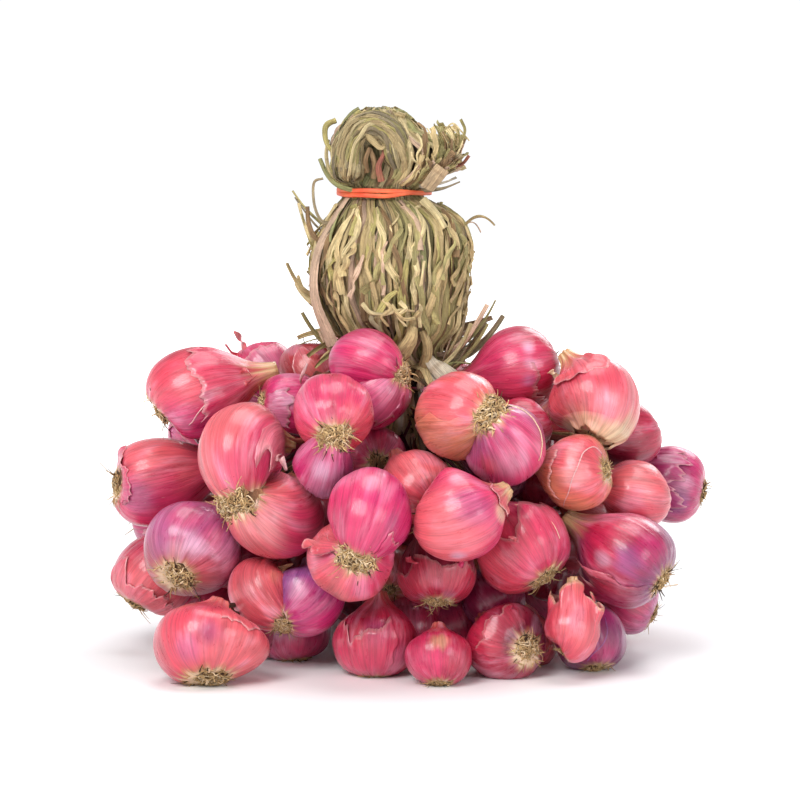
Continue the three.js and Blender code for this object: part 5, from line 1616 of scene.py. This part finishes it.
# Single leaves that mark this sheaf, by control points (x, y, z), widths at both ends, curl, roll at both
# ends and tone.
singles = [
    ([
        (-17.5, -8, 159), (-23, -12, 151), (-29, -14.5, 139), (-30, -13.5, 124), (-24, -12, 107),
    ], (3, 8.5), 0.5, (0.3, 0.1), "beige"),
    ([(-19.5, -21.5, 135), (-20.5, -21.5, 131), (-21, -20.5, 127)], (2.6, 1.6), 0.2, (0, 0), "red"),
    ([
        (-13, -27, 122.5), (-10, -29, 119.5), (-5, -29.4, 119), (0, -29, 120.5), (5, -28.2, 120),
    ], (1.9, 1.4), 0.6, (0.3, 1.4), "straw"),
    ([
        (-6, -28.6, 124), (-3.5, -29.6, 121), (-6.5, -29.2, 118.5), (-4, -28, 115),
    ], (1.8, 1.4), 0.9, (0.2, 1.6), "tan"),
    ([
        (0, -28.6, 123.5), (2.2, -29.4, 121), (-0.5, -29, 118.5), (2, -27.4, 115),
    ], (1.8, 1.4), 0.9, (-0.2, -1.8), "straw"),
    ([
        (-3, -28.8, 122), (-1, -30, 119.6), (1.5, -29.4, 117.6), (5, -28, 117.8),
    ], (1.6, 1.2), 0.9, (0.6, -1.2), "tan"),
    ([
        (-9, -27.5, 120), (-10, -28.5, 117), (-7, -27.7, 113), (-9, -25.4, 109),
    ], (2.2, 1.8), 0.7, (0.4, 1.2), "grey"),
    ([(-1, -27.5, 127), (-4.5, -28.8, 124.5), (-8, -28.4, 119)], (1.2, 3.4), 0.5, (0.2, 0.8), "lemon"),
    ([
        (4.5, -24.6, 114.5), (3.5, -25.6, 110.5), (0.5, -23.5, 106), (-2, -19, 101.5),
    ], (3.4, 7.0), 1.1, (0.3, 0.9), "tan"),
    ([(8, -20, 113), (10, -19, 107), (9, -16.5, 101), (7, -14, 95)], (3, 5.0), 0.9, (0.1, 0.5), "tan"),
    ([(9.5, -14, 104.5), (12, -17, 101.5), (15.5, -18, 98), (19, -17, 94.4)], (5, 8), 0.5, (0.1, 0.5), "ash"),
    ([
        (10, -13, 101), (12, -17, 97), (13.5, -18.5, 93.5), (14, -17.5, 90.5),
    ], (4, 6), -0.5, (0.4, -0.3), "ash"),
    ([
        (12, -15, 99), (14.5, -18.6, 96.6), (18.2, -19.2, 97.4), (20, -18, 95.4), (18.2, -17.4, 93.6),
    ], (0.8, 0.6), 0.2, (0, 2), "grey"),
    ([(15, -12, 100), (19, -15, 101.4), (24.5, -16, 101.2)], (1.3, 0.8), 0.2, (0, 1), "green"),
    ([
        (9.4, -18.6, 161.2), (12, -19.6, 164.6), (14.8, -19.8, 168.4),
    ], (6.6, 6.4), 0.25, (0.1, -0.1), "square"),
    ([(8, -15.5, 158), (12.5, -17, 153), (15.5, -18.5, 148)], (3.4, 2.2), 0.7, (0.1, 0.6), "straw"),
    ([
        (-6, -15, 164), (-7, -17.4, 169), (-5.5, -17.6, 174), (-7.5, -15, 178),
    ], (2.8, 2.2), 0.9, (0.5, 2.2), "red"),
    ([(-9.5, -15, 165), (-8.5, -17.5, 170), (-10, -17, 175)], (2.4, 2.0), 0.8, (-0.6, 1.2), "brown"),
    ([(-11, -15.4, 167), (-12, -18, 171), (-10.6, -18, 175.5)], (2.2, 1.4), 0.9, (0.9, -0.9), "brown"),
    ([
        (-13.5, -17, 181), (-9, -20.0, 177.5), (-6.5, -19.6, 175.6), (-5, -17, 177),
    ], (2.6, 1.6), 0.8, (0.3, -1.4), "tan"),
    ([
        (-16, -12, 160.5), (-21.5, -13, 162.5), (-25, -12, 166), (-27.6, -10, 171.5),
    ], (1.8, 1.5), 0.6, (0.2, 1.2), "green"),
    ([
        (-18, -9, 162), (-23.5, -10, 165), (-25.5, -9, 172), (-24.8, -8, 178),
    ], (2.0, 1.3), 0.6, (0.1, 0.9), "straw"),
    ([
        (-22, -10, 172), (-25.4, -9, 177), (-25.6, -7, 182.5), (-22, -6, 184.4),
    ], (1.4, 2.4), 0.5, (0.3, 1.8), "lemon"),
    ([
        (-20.5, -9, 151), (-26.4, -10, 149.5), (-29.5, -9, 155), (-29.8, -8, 163), (-26.5, -8, 164.6),
    ], (1.6, 0.9), 0.4, (0.1, 1.0), "grey"),
    ([
        (-24, -9, 146), (-29, -9, 144), (-31.6, -8, 149), (-32, -8, 155),
    ], (2.6, 1.4), 0.4, (0.2, 1.2), "brown"),
    ([(14, -9, 180), (18, -9, 183.5), (21, -7, 181), (24, -6, 177.5)], (0.8, 0.5), 0.3, (0, 0.8), "straw"),
    ([(16, -8, 172), (20.5, -8, 176), (22.5, -7, 181), (21, -6, 185)], (2.0, 1.2), 0.5, (0.2, 1.2), "olive"),
    ([(17, -6, 168), (21.5, -7, 169.5), (24, -7, 172.4)], (2.4, 1.6), 0.5, (0.4, 1.0), "red"),
    ([(7, -9, 161.5), (14, -12, 163), (19.5, -11, 165)], (2.6, 1.6), 0.5, (0.2, 1.4), "ash"),
    ([(7, -9, 160.8), (14, -11, 161), (20.6, -9, 163.5)], (2.2, 1.2), 0.5, (0.2, 1.0), "grey"),
]


def addSingles(heap, rng):
    steps = 24
    paths = np.concatenate([throughControls(np.array([row[0]], float), steps) for row in singles])
    share = np.linspace(0, 1, steps)[None]
    ends = np.array([row[1] for row in singles])
    width = ends[:, :1] + (ends[:, 1:] - ends[:, :1]) * share
    rolls = np.array([row[3] for row in singles])
    roll = rolls[:, :1] + (rolls[:, 1:] - rolls[:, :1]) * share
    curl = np.array([[row[2]] for row in singles])
    facing = paths - np.stack([waist["right"] + 0 * paths[..., 0], 0 * paths[..., 1], paths[..., 2]], -1)
    tones = [row[4] for row in singles]
    addLeaves(heap, paths, unit(facing), width, 0.4, rng, tones, 1.0, curl, roll, 12)


# Cut leaf ends that stand up out of the band on the right of the knot, and frayed ends on its shoulders.
knotEnds = {
    "count": 84, "angle": (-80, 50), "from": (160, 168), "to": (168, 184.5), "out": (0.5, 4.5),
    "width": (0.9, 2.6), "tones": ("tan", "straw", "olive", "beige", "brown"),
}


def addKnotEnds(heap, rng):
    count, steps = knotEnds["count"], 20
    angle = np.radians(rng.uniform(*knotEnds["angle"], (count, 1)))
    low = rng.uniform(*knotEnds["from"], (count, 1))
    high = rng.uniform(*knotEnds["to"], (count, 1))
    share = np.linspace(0, 1, steps)[None]
    z = low + (high - low) * share
    right, radius = sheafOutside(z)
    reach = np.minimum(radius, 22) - 0.6 + rng.uniform(*knotEnds["out"], (count, 1)) * share**2
    angle = angle + rng.normal(0, 0.16, (count, 1)) * share
    path = np.stack([right + reach * np.cos(angle), reach * np.sin(angle), z], -1)
    path = path + kinks(rng, count * 3, steps, 6, 0.4).reshape(count, 3, steps).transpose(0, 2, 1)
    path[..., 0] = np.minimum(path[..., 0], 23.5)
    width = rng.uniform(*knotEnds["width"], (count, 1)) * (0.6 + 0.4 * share)
    curl = rng.uniform(-0.6, 1.1, (count, 1))
    roll = rng.normal(0, 0.8, (count, 1)) * share
    addLeaves(heap, path, outAt(angle), width, 0.45, rng, knotEnds["tones"], 1.0, curl, roll)


# The inside that shows between the leaves, painted dark as painted shade.
def addShadedSheafInside(heap):
    sides = 48
    z = np.concatenate([np.linspace(92.5, 160, 30), np.linspace(162, 187, 14)])[:, None]
    right, radius = sheafOutside(z)
    angle = 2 * np.pi * np.arange(sides)[None] / sides
    reach = radius * shoulder(angle, z) - (3.2 - 1.6 * nearWaist(z)) - knotDent(angle, z)
    grid = sheafPoints(angle, np.maximum(reach, 0.5), right, z)
    points = np.concatenate([grid.reshape(-1, 3), [grid[0].mean(axis=0), grid[-1].mean(axis=0)]])
    heap.add(points, closedFaces(len(grid), sides), leafTones["deep"], points)


def makeSheaf():
    rng = np.random.default_rng(5)
    inside, side, top, loose = Heap(), Heap(), Heap(), Heap()
    addShadedSheafInside(inside)
    addSheafSide(inside, side, rng)
    addKnotDome(top, rng)
    addKnotFold(top, rng)
    addKnotEnds(top, rng)
    addScraps(loose, rng)
    addKnotCap(loose, rng)
    addBlades(loose, rng)
    addSingles(loose, rng)
    named = {"leaf_sheaf_shaded_inside": inside, "leaf_sheaf": side, "leaf_knot": top, "loose_leaves": loose}
    for name, heap in named.items():
        heap.change(lambda points: points + np.array([*shift, 0]))
        heap.make(name, leaves, "dried_leaf", ["leaf_bundle"], False)


# The rubber band: two rounds of it that cross on the waist.
band = {
    "inside": 15.25, "thick": 1.35, "height": 1.55, "apart": 0.75, "tilt": 1.6, "steps": 120, "sides": 14,
    "wander": 0.12,
}


def makeBand():
    rng = np.random.default_rng(9)
    heap = Heap()
    angle = 2 * np.pi * np.arange(band["steps"])[:, None] / band["steps"]
    section = 2 * np.pi * np.arange(band["sides"])[None] / band["sides"]
    flatX = np.sign(np.cos(section)) * np.abs(np.cos(section)) ** 0.5
    flatZ = np.sign(np.sin(section)) * np.abs(np.sin(section)) ** 0.5
    for turn in (1, -1):
        bend = band["wander"] * wander(rng, angle, 0.0, (2, 7), (0, 0), 6)
        reach = band["inside"] + (1 + flatX) * band["thick"] / 2 + 0 * angle
        tilted = np.tan(np.radians(band["tilt"])) * reach * np.cos(angle)
        rise = turn * (band["apart"] * np.sin(angle) + tilted) + bend
        grid = np.stack([
            waist["right"] + shift[0] + reach * np.cos(angle),
            shift[1] + reach * np.sin(angle),
            waist["z"] + rise + flatZ * band["height"] / 2,
        ], -1)
        index = np.arange(grid.shape[0] * grid.shape[1]).reshape(grid.shape[:2])
        a, b = index, np.roll(index, -1, axis=1)
        c, d = np.roll(b, -1, axis=0), np.roll(a, -1, axis=0)
        quads = np.stack([a, d, c, b], -1).reshape(-1, 4)
        heap.add(grid, [quads], linear((250, 112, 52)), grid)
    heap.make("band_rounds", bandRubber, "rubber_band", ["rubber_band"])


makeSheaf()
makeBand()
print(f"sheaf {time.time() - started:.1f} s")


# The gathered stems and the bulbs that hang inside the mound, as one skin, painted dark as painted shade.
def makeCore():
    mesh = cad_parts["stem_core"].data.copy()
    mesh.name = "inner_bulbs"
    mesh.materials.clear()
    mesh.materials.append(skins)
    points = np.empty(len(mesh.vertices) * 3)
    mesh.vertices.foreach_get("co", points)
    points = points.reshape(-1, 3) / mm
    # Painted shade: the inner bulbs are darkened overall and more towards the mound's middle, the stems
    # darkened too.
    shade = 0.75 + 0.12 * np.sin(points[:, 0] * 0.11 + 1) * np.cos(points[:, 1] * 0.13)
    middle = np.hypot(points[:, 0], points[:, 1])
    tint = blendTo(paint["crimson"] * 0.7 * shade[:, None], paint["dark"], smooth(26, 12, middle))
    tint = blendTo(tint, paint["root"] * 0.6, smooth(13, 11, middle) * smooth(62, 74, points[:, 2]))
    tintMesh(mesh, tint, points * 0.06)
    mesh.polygons.foreach_set("use_smooth", np.full(len(mesh.polygons), True))
    piece = bpy.data.objects.new("inner_bulbs", mesh)
    bpy.context.scene.collection.objects.link(piece)
    weld = piece.modifiers.new("weld", "WELD")
    weld.merge_threshold = 0.00002
    soft = piece.modifiers.new("soft", "SUBSURF")
    soft.levels = soft.render_levels = 2
    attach(piece, "root")
    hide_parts("stem_core")


makeCore()


# A wide pale floor that turns as bright as the backdrop away from the bunch. In metres.
ground = {
    "sides": 96, "radius": 3.2, "colours": ((0.86, 0.87, 0.88), (0.90, 0.90, 0.905)), "rough": 0.55,
    "glow": (0.3, 0.9),
}


def makeFloor():
    sides, radius = ground["sides"], ground["radius"]
    angle = 2 * np.pi * np.arange(sides) / sides
    points = [(radius * np.cos(a), radius * np.sin(a), 0.0) for a in angle]
    mesh = bpy.data.meshes.new("floor")
    mesh.from_pydata(points, [], [tuple(range(sides))])
    material, tree = nodeTree("floor")
    place = makeNode(tree, "ShaderNodeTexCoord").outputs["Object"]
    mottle = noiseOn(tree, place, 3.0, (1, 1, 1), 2)
    colour = mixColour(tree, mottle, *ground["colours"])
    away = makeNode(tree, "ShaderNodeVectorMath", {0: place}, operation="LENGTH").outputs["Value"]
    finishTree(tree, {
        "Base Color": colour,
        "Roughness": ground["rough"],
        "Emission Color": (1, 1, 1, 1),
        "Emission Strength": spread(tree, away, *ground["glow"], 0.0, 1.0),
    })
    mesh.materials.append(material)
    floor = bpy.data.objects.new("floor", mesh)
    bpy.context.scene.collection.objects.link(floor)


# The studio: white near the level of the floor and softer above, with a key light from the upper left.
studio = {
    "world": (0.97, 0.98, 1.0), "low": 1.06, "high": 0.36, "band": (0.2, 0.42),
    "lights": [
        {"name": "key", "at": (-0.5, -0.95, 0.9), "size": 0.75, "power": 14.0, "colour": (1.0, 0.99, 0.98)},
        {"name": "fill", "at": (0.85, -0.9, 0.45), "size": 0.6, "power": 4.0, "colour": (0.97, 0.98, 1.0)},
        {"name": "top", "at": (0.1, 0.1, 1.2), "size": 0.9, "power": 8.5, "colour": (1.0, 1.0, 1.0)},
        {"name": "rear", "at": (0.5, 1.05, 0.8), "size": 0.7, "power": 6.0, "colour": (1.0, 1.0, 1.0)},
    ],
}


def makeStudio():
    scene = bpy.context.scene
    world = bpy.data.worlds.new("studio")
    world.use_nodes = True
    tree = world.node_tree
    background = tree.nodes["Background"]
    background.inputs[0].default_value = (*studio["world"], 1)
    way = makeNode(tree, "ShaderNodeTexCoord").outputs["Generated"]
    rise = makeNode(tree, "ShaderNodeSeparateXYZ", {0: way}).outputs["Z"]
    steep = makeNode(tree, "ShaderNodeMath", {0: rise}, operation="ABSOLUTE").outputs[0]
    tree.links.new(spread(tree, steep, *studio["band"], studio["low"], studio["high"]), background.inputs[1])
    scene.world = world
    for row in studio["lights"]:
        lamp = bpy.data.lights.new(row["name"], "AREA")
        lamp.shape, lamp.size, lamp.energy, lamp.color = "DISK", row["size"], row["power"], row["colour"]
        light = bpy.data.objects.new(row["name"], lamp)
        light.location = row["at"]
        aim = Vector((0, 0, 0.08))
        light.rotation_euler = (aim - light.location).to_track_quat("-Z", "Y").to_euler()
        scene.collection.objects.link(light)
    scene.view_settings.view_transform = "Standard"
    scene.view_settings.look = "None"


def makeCamera():
    tilt = np.radians(viewer["tilt"])
    target = np.array([shift[0], shift[1], viewer["aimHeight"]])
    along = np.array([0, np.cos(tilt), -np.sin(tilt)])
    lens = bpy.data.cameras.new("camera")
    lens.lens, lens.sensor_width = viewer["lens"], viewer["sensor"]
    lens.clip_start, lens.clip_end = viewer["clip"]
    camera = bpy.data.objects.new("camera", lens)
    camera.location = Vector((target - along * viewer["distance"]) * mm)
    camera.rotation_euler = Vector(along).to_track_quat("-Z", "Y").to_euler()
    bpy.context.scene.collection.objects.link(camera)
    bpy.context.scene.camera = camera


makeFloor()
makeStudio()
makeCamera()

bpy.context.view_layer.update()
print(f"scene {time.time() - started:.1f} s")
